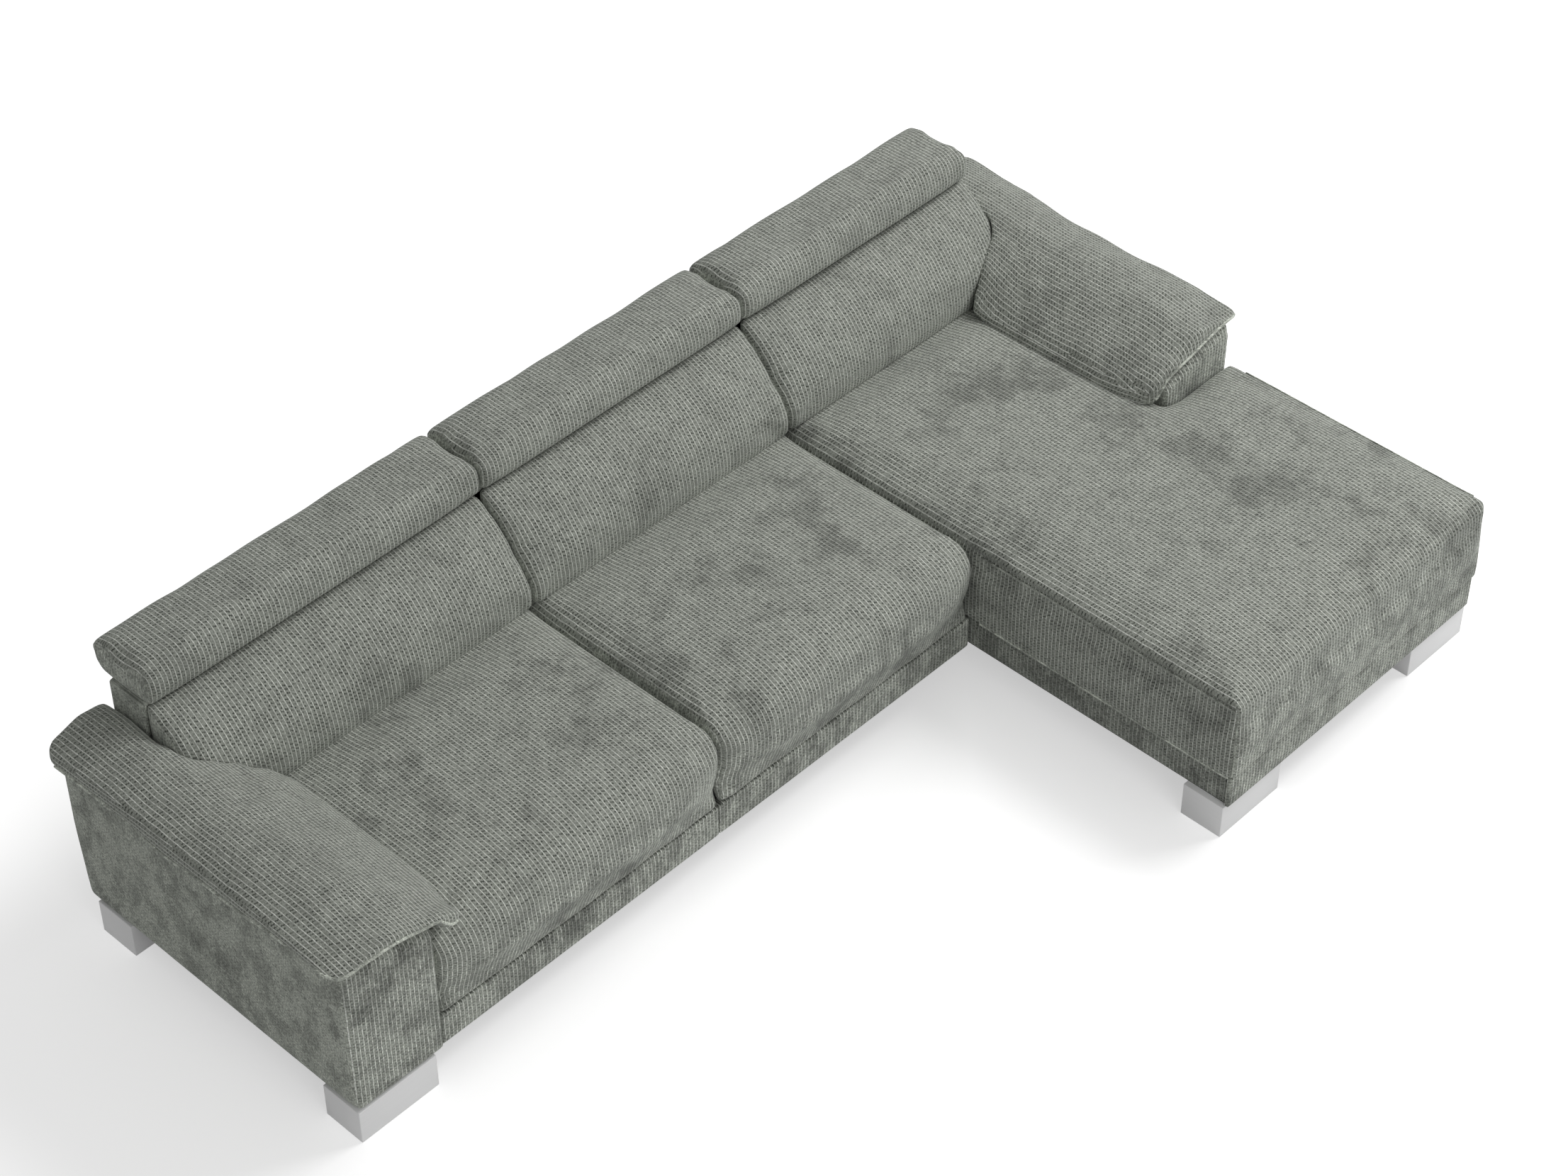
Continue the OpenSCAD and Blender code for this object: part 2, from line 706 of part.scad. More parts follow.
// A padded rear cover with a strip over the top of the back
module rear_cover(x0, x1, hinges) {
  top_r = strip_t / 2;
  difference() {
    side_profile(x0, x1) {
      translate([rear_y - rear_t, foot_h]) square([rear_t, strip_z - foot_h]);
      translate([strap_y, strip_z]) square([rear_y - strap_y - top_r, strip_t]);
      translate([strap_y, strip_z]) square([rear_y - strap_y, strip_t - top_r]);
      translate([rear_y - top_r, back_z - top_r]) circle(top_r);
    }
    for (x = hinges)
      block([x - fixed_arm_t / 2 - side_play, pin_y - stem_half - side_play, strip_z - 1],
            [x + fixed_arm_t / 2 + side_play, pin_y + stem_half + side_play, back_z + 1]);
  }
}

// The padded end wall of the back, over the arm
module rear_cover_end() {
  block([-back_end_x, strap_y, seat_z], [-back_end_x + panel_t, rear_y - rear_t, strip_z]);
}

module sofa_rear_cover() {
  color(FABRIC) difference() {
    union() {
      rear_cover(-back_end_x, seat_x2 - soft_gap, [for (i = [0:3]) all_hinge_xs[i]]);
      rear_cover_end();
    }
    arm_below(false);
  }
}

module chaise_rear_cover() {
  color(FABRIC) difference() {
    union() {
      rear_cover(seat_x2, back_end_x, [all_hinge_xs[4], all_hinge_xs[5]]);
      on_side(true) rear_cover_end();
    }
    arm_below(true);
  }
}

module seat_front_rail() {
  color(WOOD)
    block([seat_x0, rail_front_y, foot_h], [seat_x2 - soft_gap, rail_front_y + rail_t, rail_z]);
}

module seat_rear_rail() {
  color(WOOD)
    block([seat_x0, rear_rail_y, foot_h], [seat_x2 - soft_gap, upright_y, rail_z]);
}

module seat_cross_rails() {
  xs = [seat_x0, seat_x1 - rail_t / 2, seat_x2 - soft_gap - rail_t];
  color(WOOD) for (x = xs)
    block([x, rail_front_y + rail_t, foot_h], [x + rail_t, rear_rail_y, rail_z]);
}

// Middle line of a zigzag spring along Y, as points with the side direction at each:
// cross runs joined by half turns, to the right and to the left in turn
function zigzag_line(length) =
  let (runs = 2 * ceil(length / spring_pitch / 2) + 1, pitch = length / (runs - 1))
  let (half = spring_w / 2 - pitch / 2)
  concat(
    [[[-half, 0], [0, -1]]],
    [for (i = [0:runs - 2], k = [0:4])
      let (s = i % 2 == 0 ? 1 : -1, a = s > 0 ? -90 + 45 * k : 270 - 45 * k)
      let (out = [cos(a), sin(a)])
      [[s * half, (i + 0.5) * pitch] + pitch / 2 * out, s * out]],
    [[[half, length], [0, -1]]]);

// A zigzag spring along Y, with its underside at height 0
module zigzag_spring(length) {
  line = zigzag_line(length);
  n = len(line);
  linear_extrude(wire_d)
    polygon(concat(
      [for (p = line) p[0] + wire_d / 2 * p[1]],
      [for (i = [1:n]) line[n - i][0] - wire_d / 2 * line[n - i][1]]));
}

module seat_springs() {
  y0 = rail_front_y + rail_t / 2;
  y1 = rear_rail_y + rail_t / 2;
  step = seat_w / seat_springs_n;
  color(SPRING) for (x = [seat_x0, seat_x1], i = [0:seat_springs_n - 1])
    translate([x + step * (i + 0.5), y0, wire_z]) zigzag_spring(y1 - y0);
}

// The padded panel below a seat's front
module seat_plinth(x0, x1) {
  edge_r = 8;
  color(FABRIC) side_profile(x0, x1) {
    round_rect([front_y, foot_h], [rail_front_y, seam_z - rest_gap], edge_r);
    translate([front_y + edge_r, foot_h]) square([plinth_t - edge_r, plinth_h - rest_gap]);
  }
}

foam_in = 32;
foam_top = 24;

// The foam block of a seat
module seat_foam_box(x0, x1) {
  block([x0 + foam_in, rail_front_y + foam_in / 2, deck_z],
        [x1 - foam_in, soft_rear_y - foam_in / 2, seat_z - foam_top]);
}

module seat_foam(x0, x1) {
  color(FOAM) seat_foam_box(x0, x1);
}

// The padded cover of a seat, with its hollow for frame, springs and foam
module seat_cushion(x0, x1) {
  y0 = front_y - seat_swell;
  color(FABRIC) difference() {
    box_cushion(x0 + soft_gap, x1 - soft_gap, y0, soft_rear_y, back_foot_y, seat_swell);
    block([x0 - 1, rail_front_y - rest_gap, 0], [x1 + 1, rear_y, deck_z]);
    seat_foam_box(x0, x1);
  }
}

module chaise_end_rails() {
  y1 = chaise_rail_y0 + rail_t;
  color(WOOD) {
    block([chaise_rail_x0, chaise_rail_y0, foot_h], [chaise_rail_x1, y1, rail_z]);
    block([chaise_rail_x0, rear_rail_y, foot_h], [arm_in_x, upright_y, rail_z]);
  }
}

// Side rails of the chaise, with the step round the right arm
module chaise_side_rails() {
  y0 = chaise_rail_y0 + rail_t;
  color(WOOD) {
    block([chaise_rail_x0, y0, foot_h], [chaise_rail_x0 + rail_t, rear_rail_y, rail_z]);
    block([chaise_rail_x1 - rail_t, y0, foot_h], [chaise_rail_x1, arm_y0, rail_z]);
    block([arm_in_x - rail_t, arm_y0 - rail_t, foot_h], [arm_in_x, rear_rail_y, rail_z]);
    block([arm_in_x, arm_y0 - rail_t, foot_h], [chaise_rail_x1 - rail_t, arm_y0, rail_z]);
  }
}

// One row of cross springs from y0 to y1, between the middles of two rails
module chaise_spring_row(x0, x1, y0, y1) {
  n = floor((y1 - y0) / chaise_spring_step);
  step = (y1 - y0) / n;
  for (i = [0:n - 1])
    translate([x1, y0 + step * (i + 0.5), wire_z]) rotate([0, 0, 90]) zigzag_spring(x1 - x0);
}

module chaise_springs() {
  x0 = chaise_rail_x0 + rail_t / 2;
  color(SPRING) {
    chaise_spring_row(x0, chaise_rail_x1 - rail_t / 2, chaise_rail_y0 + rail_t, arm_y0 - rail_t);
    chaise_spring_row(x0, arm_in_x - rail_t / 2, arm_y0, rear_rail_y);
  }
}

module chaise_front_panel() {
  edge_r = 5;
  color(FABRIC) side_profile(base_x0, arm_out_x) {
    round_rect([base_y0, foot_h], [chaise_rail_y0, seam_z - rest_gap], edge_r);
    translate([base_y0 + edge_r, foot_h]) square([panel_t - edge_r, plinth_h - rest_gap]);
  }
}

module chaise_side_panel(x0, y1) {
  color(FABRIC) block([x0, chaise_rail_y0, foot_h], [x0 + panel_t, y1, seam_z - rest_gap]);
}

// Outline of the chaise foam, stepped round the right arm
module chaise_foam_box() {
  x0 = chaise_rail_x0 + rail_t;
  y0 = chaise_rail_y0 + foam_in;
  translate([0, 0, deck_z]) linear_extrude(seat_z - foam_top - deck_z)
    polygon([
      [x0, y0],
      [chaise_rail_x1 - foam_in, y0],
      [chaise_rail_x1 - foam_in, arm_y0 - foam_in],
      [arm_in_x - foam_in, arm_y0 - foam_in],
      [arm_in_x - foam_in, soft_rear_y - foam_in / 2],
      [x0, soft_rear_y - foam_in / 2]]);
}

module chaise_foam() {
  color(FOAM) chaise_foam_box();
}

module chaise_cushion() {
  low = [chaise_rail_x0 - rest_gap, chaise_rail_y0 - rest_gap, 0];
  color(FABRIC) difference() {
    box_cushion(seat_x2, chaise_x1, nose_y, soft_rear_y, back_foot_y, base_in);
    block(low, [chaise_rail_x1 + rest_gap, rear_y, deck_z]);
    block([arm_in_x - rest_gap, arm_y0 - rest_gap, 0], [total_w, rear_y, back_z]);
    chaise_foam_box();
  }
}

// Two steel hook plates on the seats and two slotted plates on the chaise
module module_connectors() {
  x0 = seat_x2 - soft_gap;
  x1 = x0 + 3;
  x2 = x1 + 4;
  z0 = foot_h + connector_lift;
  z1 = z0 + connector_h;
  tongue_z = z0 + tongue_lift;
  color(STEEL) for (y = [front_y + connector_in, rear_rail_y - connector_in]) {
    tongue_y = y + (connector_w - tongue_w) / 2;
    block([x0, y, z0], [x1, y + connector_w, z1]);
    block([x1, tongue_y, tongue_z], [x2, tongue_y + tongue_w, tongue_z + tongue_h]);
    difference() {
      block([x1 + rest_gap, y, z0], [chaise_rail_x0, y + connector_w, z1]);
      block([x0, tongue_y - side_play, tongue_z - side_play],
            [x2 + side_play, tongue_y + tongue_w + side_play, z1 + 1]);
    }
  }
}

leg_ys = [front_y + leg_back, upright_y - leg_back / 2];
leg_spots = [for (x = [seat_x1, seat_x2 - soft_gap - leg_d / 2], y = leg_ys) [x, y]];

// Hidden legs under the seats' cross rails
module support_legs() {
  color(BLACK) for (p = leg_spots)
    translate([p[0], p[1], 0]) cylinder(d = leg_d, h = foot_h);
}

rear_foot_y = arm_y1 - foot_rear_in - foot_d;
foot_spots = [
  [-arm_out_x, arm_y0],
  [-arm_out_x, rear_foot_y],
  [seat_x2, base_y0 + base_in],
  [arm_out_x - foot_w, base_y0 + base_in],
  [seat_x2, rear_foot_y],
  [arm_out_x - foot_w, rear_foot_y]];

// Closed sheet-metal blocks, open inside, with an inner flange on top
module metal_feet() {
  flange = 20;
  color(STEEL) for (p = foot_spots) translate([p[0], p[1], 0]) difference() {
    cube([foot_w, foot_d, foot_h]);
    translate([foot_t, foot_t, foot_t]) cube([foot_w - 2 * foot_t, foot_d - 2 * foot_t, foot_h - 2 * foot_t]);
    translate([flange, flange, foot_t]) cube([foot_w - 2 * flange, foot_d - 2 * flange, foot_h]);
  }
}

// Thin fabric sheets under the seats and under the chaise, cut round legs and feet
module dust_covers() {
  sheet_t = 1;
  cut = 2;
  z0 = foot_h - sheet_t;
  color(BLACK) difference() {
    union() {
      block([seat_x0 + cut, rail_front_y, z0], [seat_x2 - soft_gap - cut, back_rail_y, foot_h]);
      block([chaise_rail_x0, chaise_rail_y0, z0], [arm_in_x, back_rail_y, foot_h]);
      block([arm_in_x - cut, chaise_rail_y0, z0], [chaise_rail_x1, arm_y0 - cut, foot_h]);
    }
    for (p = leg_spots) translate([p[0], p[1], 0]) cylinder(d = leg_d + 2 * cut, h = foot_h + 1);
    for (p = foot_spots)
      block([p[0] - cut, p[1] - cut, 0], [p[0] + foot_w + cut, p[1] + foot_d + cut, foot_h + 1]);
  }
}

left_lift = crown_at(left_pad_reach - side_r, (seat_depth + seat_swell - seat_front_r) / 2);
right_lift = seat_crown;

metal_feet();
support_legs();
arm_outer_board(false);  // left_arm_outer_board
arm_inner_board(false);  // left_arm_inner_board
arm_end_boards(false);  // left_arm_end_boards
arm_top_board(false);  // left_arm_top_board
arm_base_board(false);  // left_arm_base_board
arm_cover(false);  // left_arm_cover
arm_pad(false, left_pad_reach, left_pad_front, left_lift);  // left_arm_pad
arm_outer_board(true);  // right_arm_outer_board
arm_inner_board(true);  // right_arm_inner_board
arm_end_boards(true);  // right_arm_end_boards
arm_top_board(true);  // right_arm_top_board
arm_base_board(true);  // right_arm_base_board
arm_cover(true);  // right_arm_cover
arm_pad(true, right_pad_reach, right_pad_front, right_lift);  // right_arm_pad
seat_front_rail();
seat_rear_rail();
seat_cross_rails();
seat_springs();
seat_plinth(seat_x0 + soft_gap, seat_x1 - soft_gap / 2);  // seat_plinth_left
seat_plinth(seat_x1 + soft_gap / 2, base_x0 - soft_gap);  // seat_plinth_middle
seat_foam(seat_x0, seat_x1);  // seat_foam_left
seat_foam(seat_x1, seat_x2);  // seat_foam_middle
seat_cushion(seat_x0, seat_x1);  // seat_cushion_left
seat_cushion(seat_x1, seat_x2);  // seat_cushion_middle
chaise_end_rails();
chaise_side_rails();
chaise_springs();
chaise_front_panel();
chaise_side_panel(base_x0, rail_front_y);  // chaise_left_panel
chaise_side_panel(arm_out_x - panel_t, arm_y0);  // chaise_right_panel
chaise_foam();
chaise_cushion();
back_uprights();
back_rails();
back_webbing();
sofa_rear_cover();
chaise_rear_cover();
back_cushion_left();
back_cushion_middle();
back_cushion_right();
hinge_fixed_arms();
module_connectors();
dust_covers();
headrest_cushion(0);  // headrest_cushion_left
headrest_cushion(1);  // headrest_cushion_middle
headrest_cushion(2);  // headrest_cushion_right
headrest_board(0);  // headrest_board_left
headrest_board(1);  // headrest_board_middle
headrest_board(2);  // headrest_board_right
headrest_brackets(0);  // headrest_brackets_left
headrest_brackets(1);  // headrest_brackets_middle
headrest_brackets(2);  // headrest_brackets_right
headrest_pins(0);  // headrest_pins_left
headrest_pins(1);  // headrest_pins_middle
headrest_pins(2);  // headrest_pins_right
click_springs(0);  // click_springs_left
click_springs(1);  // click_springs_middle
click_springs(2);  // click_springs_right
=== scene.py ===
# %% [markdown]
# # A corner sofa with a chaise
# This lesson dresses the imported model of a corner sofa. The CAD model gives the frame, the feet, the
# springs and the hinges, all in metres and in one frame. The cushions, pads and covers are modelled
# here, in cloth. The first cell loads the model, because every size that follows is taken from it.

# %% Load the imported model
import json
import math

import bmesh
import bpy
import numpy as np
from mathutils import Matrix, Vector
from mathutils.kdtree import KDTree


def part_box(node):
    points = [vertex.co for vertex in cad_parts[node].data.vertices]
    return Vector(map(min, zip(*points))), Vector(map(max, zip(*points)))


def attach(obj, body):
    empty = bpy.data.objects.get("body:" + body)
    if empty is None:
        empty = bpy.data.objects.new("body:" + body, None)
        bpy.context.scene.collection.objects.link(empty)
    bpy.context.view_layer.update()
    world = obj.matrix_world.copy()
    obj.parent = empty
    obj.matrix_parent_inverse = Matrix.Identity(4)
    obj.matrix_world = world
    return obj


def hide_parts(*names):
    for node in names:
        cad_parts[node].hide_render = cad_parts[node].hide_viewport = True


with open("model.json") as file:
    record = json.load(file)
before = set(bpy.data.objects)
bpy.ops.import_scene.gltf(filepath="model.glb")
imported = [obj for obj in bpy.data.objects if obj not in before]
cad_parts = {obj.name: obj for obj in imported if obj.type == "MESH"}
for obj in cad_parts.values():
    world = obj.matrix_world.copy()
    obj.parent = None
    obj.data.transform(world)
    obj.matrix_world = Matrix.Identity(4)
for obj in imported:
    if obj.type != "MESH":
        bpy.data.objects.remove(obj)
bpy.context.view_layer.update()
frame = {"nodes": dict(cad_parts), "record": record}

scene = bpy.context.scene

# %% [markdown]
# ## The camera
# The photograph looks down on the sofa from its front left corner with a long lens, so parallel edges
# stay nearly parallel. The numbers were worked out from the straight edges in the photograph: where
# the camera stands, its turn about the vertical, its tilt below the horizon, and how long the lens is
# in widths of the picture.

# %% Camera
CAMERA_PLACE = (-3.8715, -3.6087, 5.4214)
CAMERA_TURN = math.radians(43.4449)
CAMERA_TILT = math.radians(42.6847)
LENS_IN_WIDTHS = 4830.4 / 2212

camera_data = bpy.data.cameras.new("camera")
camera_data.sensor_width = 36.0
camera_data.lens = LENS_IN_WIDTHS * camera_data.sensor_width
camera_data.clip_start, camera_data.clip_end = 0.1, 60.0
camera = bpy.data.objects.new("camera", camera_data)
scene.collection.objects.link(camera)
looking = Vector((math.cos(CAMERA_TURN) * math.cos(CAMERA_TILT),
                  math.sin(CAMERA_TURN) * math.cos(CAMERA_TILT), -math.sin(CAMERA_TILT)))
camera.location = CAMERA_PLACE
camera.rotation_mode = "QUATERNION"
camera.rotation_quaternion = looking.to_track_quat("-Z", "Y")
scene.camera = camera
print("lens:", round(camera_data.lens, 1), "mm")

# %% [markdown]
# ## Joining shader nodes
# A cloth pattern is arithmetic on a position: stripes are a sawtooth across the cloth, and yarn is
# noise. In Blender each sum and product is a Math node. A Wire stands for what comes out of a node,
# and adding or multiplying wires puts the Math nodes down, so that a pattern reads like a formula.

# %% Shader helpers


def add_node(tree, kind, **settings):
    """A new node of this kind with its settings made."""
    node = tree.nodes.new("ShaderNode" + kind)
    for name, value in settings.items():
        setattr(node, name, value)
    return node


class Wire:
    """What comes out of a node. Arithmetic on wires puts down Math nodes."""

    def __init__(self, node, output=0):
        self.socket, self.tree = node.outputs[output], node.id_data

    def __add__(self, other):
        return calc("ADD", self, other)

    def __sub__(self, other):
        return calc("SUBTRACT", self, other)

    def __rsub__(self, other):
        return calc("SUBTRACT", other, self)

    def __mul__(self, other):
        return calc("MULTIPLY", self, other)

    def __truediv__(self, other):
        return calc("DIVIDE", self, other)

    __radd__, __rmul__ = __add__, __mul__


def join(value, socket):
    """Joins a wire to a socket, or sets the socket to a plain value."""
    if isinstance(value, Wire):
        value.tree.links.new(value.socket, socket)
    else:
        socket.default_value = value


def tree_of(*values):
    """The node tree that the wires among these values belong to."""
    return next(value.tree for value in values if isinstance(value, Wire))


def calc(operation, *values):
    """A Math node on one, two or three values."""
    node = add_node(tree_of(*values), "Math", operation=operation)
    for socket, value in zip(node.inputs, values):
        join(value, socket)
    return Wire(node, "Value")


def step_up(value, low, high, out_low=0.0, out_high=1.0):
    """A smooth step: out_low at low, out_high at high."""
    node = add_node(value.tree, "MapRange", interpolation_type="SMOOTHSTEP")
    ends = (("From Min", low), ("From Max", high), ("To Min", out_low), ("To Max", out_high))
    for name, number in (("Value", value), *ends):
        join(number, node.inputs[name])
    return Wire(node, "Result")


def noise(where, scale=1.0, detail=2.0, rough=0.5):
    """Noise between 0 and 1 at a place."""
    node = add_node(where.tree, "TexNoise")
    for name, value in (("Vector", where), ("Scale", scale), ("Detail", detail), ("Roughness", rough)):
        join(value, node.inputs[name])
    return Wire(node, "Fac")


def stretched(where, scale):
    """The same place, with each axis multiplied."""
    node = add_node(where.tree, "VectorMath", operation="MULTIPLY")
    join(where, node.inputs[0])
    join(scale, node.inputs[1])
    return Wire(node, "Vector")


def split(where):
    """The three coordinates of a place."""
    node = add_node(where.tree, "SeparateXYZ")
    join(where, node.inputs[0])
    return [Wire(node, axis) for axis in "XYZ"]


def blend_colours(share, first, second, kind="MIX"):
    """One colour mixed into another."""
    node = add_node(tree_of(share, first, second), "Mix", data_type="RGBA", blend_type=kind)
    for value, number in ((share, 0), (first, 6), (second, 7)):     # the colour sockets of a Mix node
        join(value, node.inputs[number])
    return Wire(node, 2)


def new_finish(name, roughness=0.8, metallic=0.0):
    """A material with its node tree and Principled shader."""
    finish = bpy.data.materials.new(name)
    finish.use_nodes = True
    shader = finish.node_tree.nodes["Principled BSDF"]
    shader.inputs["Roughness"].default_value = roughness
    shader.inputs["Metallic"].default_value = metallic
    return finish, finish.node_tree, shader


def object_place(tree):
    """The place on the object, in metres."""
    return Wire(add_node(tree, "TexCoord"), "Object")


def bumped(shader, height, strength, distance):
    """Joins a height to the shader as fine relief."""
    node = add_node(height.tree, "Bump")
    for name, value in (("Strength", strength), ("Distance", distance), ("Height", height)):
        join(value, node.inputs[name])
    join(Wire(node, "Normal"), shader.inputs["Normal"])


print("shader helpers ready")

# %% [markdown]
# ## The studio
# The sofa stands on a white floor that runs out of the picture, with soft shadows. A grey light from
# the whole world fills them. One broad lamp stands above the right end, a little in front, and throws
# the shadows to the left. A second one stands in front on the left, so that the fronts are nearly as
# light as the tops. Only the camera sees the world as pure white, so this adds no light to the sofa.

# %% Light and floor
PURE_WHITE = (1.0, 1.0, 1.0, 1.0)
SKY_STRENGTH = 0.33
LAMP_AIM = (0, 0, 0.3)
FLOOR_SIZE = 30.0

world = bpy.data.worlds.new("studio")
scene.world = world
world.use_nodes = True
sky = world.node_tree.nodes["Background"]
white = add_node(world.node_tree, "Background")
for background in (sky, white):
    background.inputs["Color"].default_value = PURE_WHITE
sky.inputs["Strength"].default_value = SKY_STRENGTH
either = add_node(world.node_tree, "MixShader")
join(Wire(add_node(world.node_tree, "LightPath"), "Is Camera Ray"), either.inputs["Fac"])
join(Wire(sky), either.inputs[1])
join(Wire(white), either.inputs[2])
join(Wire(either), world.node_tree.nodes["World Output"].inputs["Surface"])


def soft_lamp(name, place, size, power):
    """A square lamp at a place, turned to the sofa."""
    data = bpy.data.lights.new(name, "AREA")
    data.shape, data.size, data.energy = "SQUARE", size, power
    lamp = bpy.data.objects.new(name, data)
    lamp.location = place
    lamp.rotation_mode = "QUATERNION"
    lamp.rotation_quaternion = (Vector(LAMP_AIM) - Vector(place)).to_track_quat("-Z", "Y")
    scene.collection.objects.link(lamp)


soft_lamp("key_lamp", (4.5, -1.4, 5.6), 3.5, 262)
soft_lamp("front_lamp", (-2.0, -6.8, 3.8), 4.5, 98)

floor_mesh = bmesh.new()
bmesh.ops.create_grid(floor_mesh, x_segments=2, y_segments=2, size=FLOOR_SIZE / 2)
floor_data = bpy.data.meshes.new("floor")
floor_mesh.to_mesh(floor_data)
floor_mesh.free()
floor = bpy.data.objects.new("floor", floor_data)
scene.collection.objects.link(floor)
scene.view_settings.view_transform = "Standard"
print("two lamps over a floor of", FLOOR_SIZE, "m")

# %% [markdown]
# ## The floor's finish
# Light Path tells whether a ray comes straight from the camera. Only such rays and mirror rays see the
# floor's small glow, so the floor reads as white paper, while the sofa gets no light from it but the
# plain bounce. The glow grows with the distance from the sofa, so that the shadow beside it stays and
# the rest of the floor is white. Far out, where the lamps fade, it grows once more.

# %% Floor finish
# the sofa's two parts on the floor, each as the middle and the half size in x and y; the first reaches
# about 0.4 m past the left arm, so that little glow lies on the shadow there
FOOTPRINT = [((-0.22, 0.37), (1.58, 0.43)), ((0.92, -0.35), (0.45, 0.45))]

floor_finish, tree, shader = new_finish("floor_paper", roughness=0.9)
shader.inputs["Base Color"].default_value = (0.80, 0.80, 0.80, 1.0)
shader.inputs["Specular IOR Level"].default_value = 0.1
shader.inputs["Emission Color"].default_value = PURE_WHITE


def outside(where, middle, half):
    """How far a place on the floor is outside a rectangle."""
    away = [calc("MAXIMUM", calc("ABSOLUTE", value - centre) - reach, 0.0)
            for value, centre, reach in zip(split(where), middle, half)]
    return calc("SQRT", calc("POWER", away[0], 2.0) + calc("POWER", away[1], 2.0))


on_floor = object_place(tree)
from_sofa = calc("MINIMUM", *(outside(on_floor, *part) for part in FOOTPRINT))
glow = step_up(from_sofa, 0.02, 0.40, 0.48, 0.63) + step_up(from_sofa, 3.0, 8.0, 0.0, 0.45)
path = add_node(tree, "LightPath")
sees_glow = calc("MAXIMUM", Wire(path, "Is Camera Ray"), Wire(path, "Is Glossy Ray"))
join(sees_glow * glow, shader.inputs["Emission Strength"])
floor.data.materials.append(floor_finish)
print("floor finish with", len(tree.nodes), "nodes")

# %% [markdown]
# ## The upholstery cloth
# The cloth is a sage grey chenille. A fine pale yarn runs every ten millimetres, and between two pale
# yarns lie rungs of soft dark tufts. Brushed by hand, its pile shows cloudy patches. The stripes have
# to follow each cushion over its edges, so every cushion stores where each of its points lies on the
# cloth: u across the stripes and v along them, in metres, in an attribute named weave. Its third value
# is 0 on striped cloth and 1 on the plain sides, as on the outside of the arms, where there is no pale
# yarn and a finer grain. Plain cloth is also painted a little lighter, as painted light on the sides
# that the lamps reach less. Below 0 the cloth is painted darker by as much, as painted shade.

# %% Upholstery cloth
STRIPE_STEP, TUFT_STEP = 0.0104, 0.0086
SAGE = (0.275, 0.289, 0.256, 1.0)
SAGE_DARK = (0.050, 0.055, 0.046, 1.0)
SAGE_PALE = (0.720, 0.735, 0.690, 1.0)
SHEEN = {"Specular IOR Level": 0.15, "Sheen Weight": 0.35, "Sheen Roughness": 0.45,
         "Sheen Tint": (0.86, 0.9, 0.84, 1.0)}


def chenille(name, pale=1.0, tufts=1.0, tone=1.0):
    """The sofa's cloth. pale says how strong the pale yarn is, tufts how strong the dark tufts are."""
    finish, tree, shader = new_finish(name, roughness=0.92)
    place = Wire(add_node(tree, "Attribute", attribute_name="weave"), "Vector")
    solid = object_place(tree)
    u, v, side = split(place)
    # away is the weave's third value below 0, where the cloth is painted darker as painted shade
    plain, away = calc("MAXIMUM", side, 0.0), calc("MINIMUM", side, 0.0)

    # pale yarns: a sawtooth across the cloth that sways a little and is worn through here and there
    stripes = (u + (noise(place, 40.0) - 0.5) * 0.0022) / STRIPE_STEP
    from_line = calc("ABSOLUTE", calc("FRACT", stripes) - 0.5)
    worn = step_up(noise(stretched(place, (300.0, 130.0, 1.0))), 0.30, 0.62, 0.30, 1.0)
    line = step_up(from_line, 0.13, 0.04) * worn * step_up(1.0 - plain, 0.0, 0.65)

    # rungs of tufts: two columns between two pale yarns, a little out of step, each tuft by chance
    column = calc("FLOOR", (stripes + 0.5) * 2.0)
    odd = calc("MODULO", calc("ABSOLUTE", column), 2.0)
    rungs = v / TUFT_STEP + odd * 0.22
    from_rung = calc("ABSOLUTE", calc("FRACT", rungs) - 0.5)
    cell = add_node(tree, "CombineXYZ")
    join(column, cell.inputs[0])
    join(calc("FLOOR", rungs), cell.inputs[1])
    chance = add_node(tree, "TexWhiteNoise", noise_dimensions="2D")
    join(Wire(cell), chance.inputs["Vector"])
    tuft = step_up(from_rung, 0.28, 0.09) * step_up(from_line, 0.08, 0.2)
    tuft = tuft * step_up(Wire(chance, "Value"), 0.0, 1.0, 0.15, 1.0) * (1.0 - plain * 0.55)

    # yarn is fine noise, and the grain is broader and stronger on plain cloth
    yarn = noise(stretched(place, (900.0, 420.0, 1.0)), detail=3.0, rough=0.6)
    grain = step_up(noise(stretched(place, (330.0, 120.0, 1.0)), rough=0.6), 0.3, 0.7, -0.5, 0.5)
    grain = grain * (0.28 + plain * 0.50)

    # brushed patches: broad clouds, weaker high up on the back, and small blots on plain cloth
    cloud = step_up(noise(solid, 5.4, 6.0, 0.70), 0.36, 0.50)
    cloudy = step_up(split(solid)[2], 0.44, 0.54, 0.36, 0.14)
    blots = step_up(noise(stretched(solid, (1.0, 1.0, 0.66)), 20.0, 6.0, 0.80), 0.42, 0.56)
    mottle = calc("MINIMUM", 0.14 + plain * 1.1, 0.64)
    patch = (cloud - 0.8) * cloudy + blots * mottle + (1.055 - mottle * 0.5)
    # plain cloth is painted up to 0.17 lighter, as painted light on sides the lamps reach less; away paints
    # shade
    patch = patch + (step_up(plain, 0.45, 0.90, 0.0, 0.17) + away)

    shade = step_up(yarn, 0.25, 0.75, 0.55, 1.45) * (patch * tone) * (1.0 + grain)
    grey = add_node(tree, "CombineColor")
    for socket in grey.inputs[:3]:
        join(shade, socket)
    base = blend_colours(tuft * (0.96 * tufts), SAGE, SAGE_DARK)
    base = blend_colours(line * (0.86 * pale), base, SAGE_PALE)
    join(blend_colours(1.0, base, Wire(grey), "MULTIPLY"), shader.inputs["Base Color"])
    for name, value in SHEEN.items():
        shader.inputs[name].default_value = value
    bumped(shader, line * (0.6 * pale) + yarn * 0.5 - tuft * (0.7 * tufts), 0.7, 0.0014)
    return finish


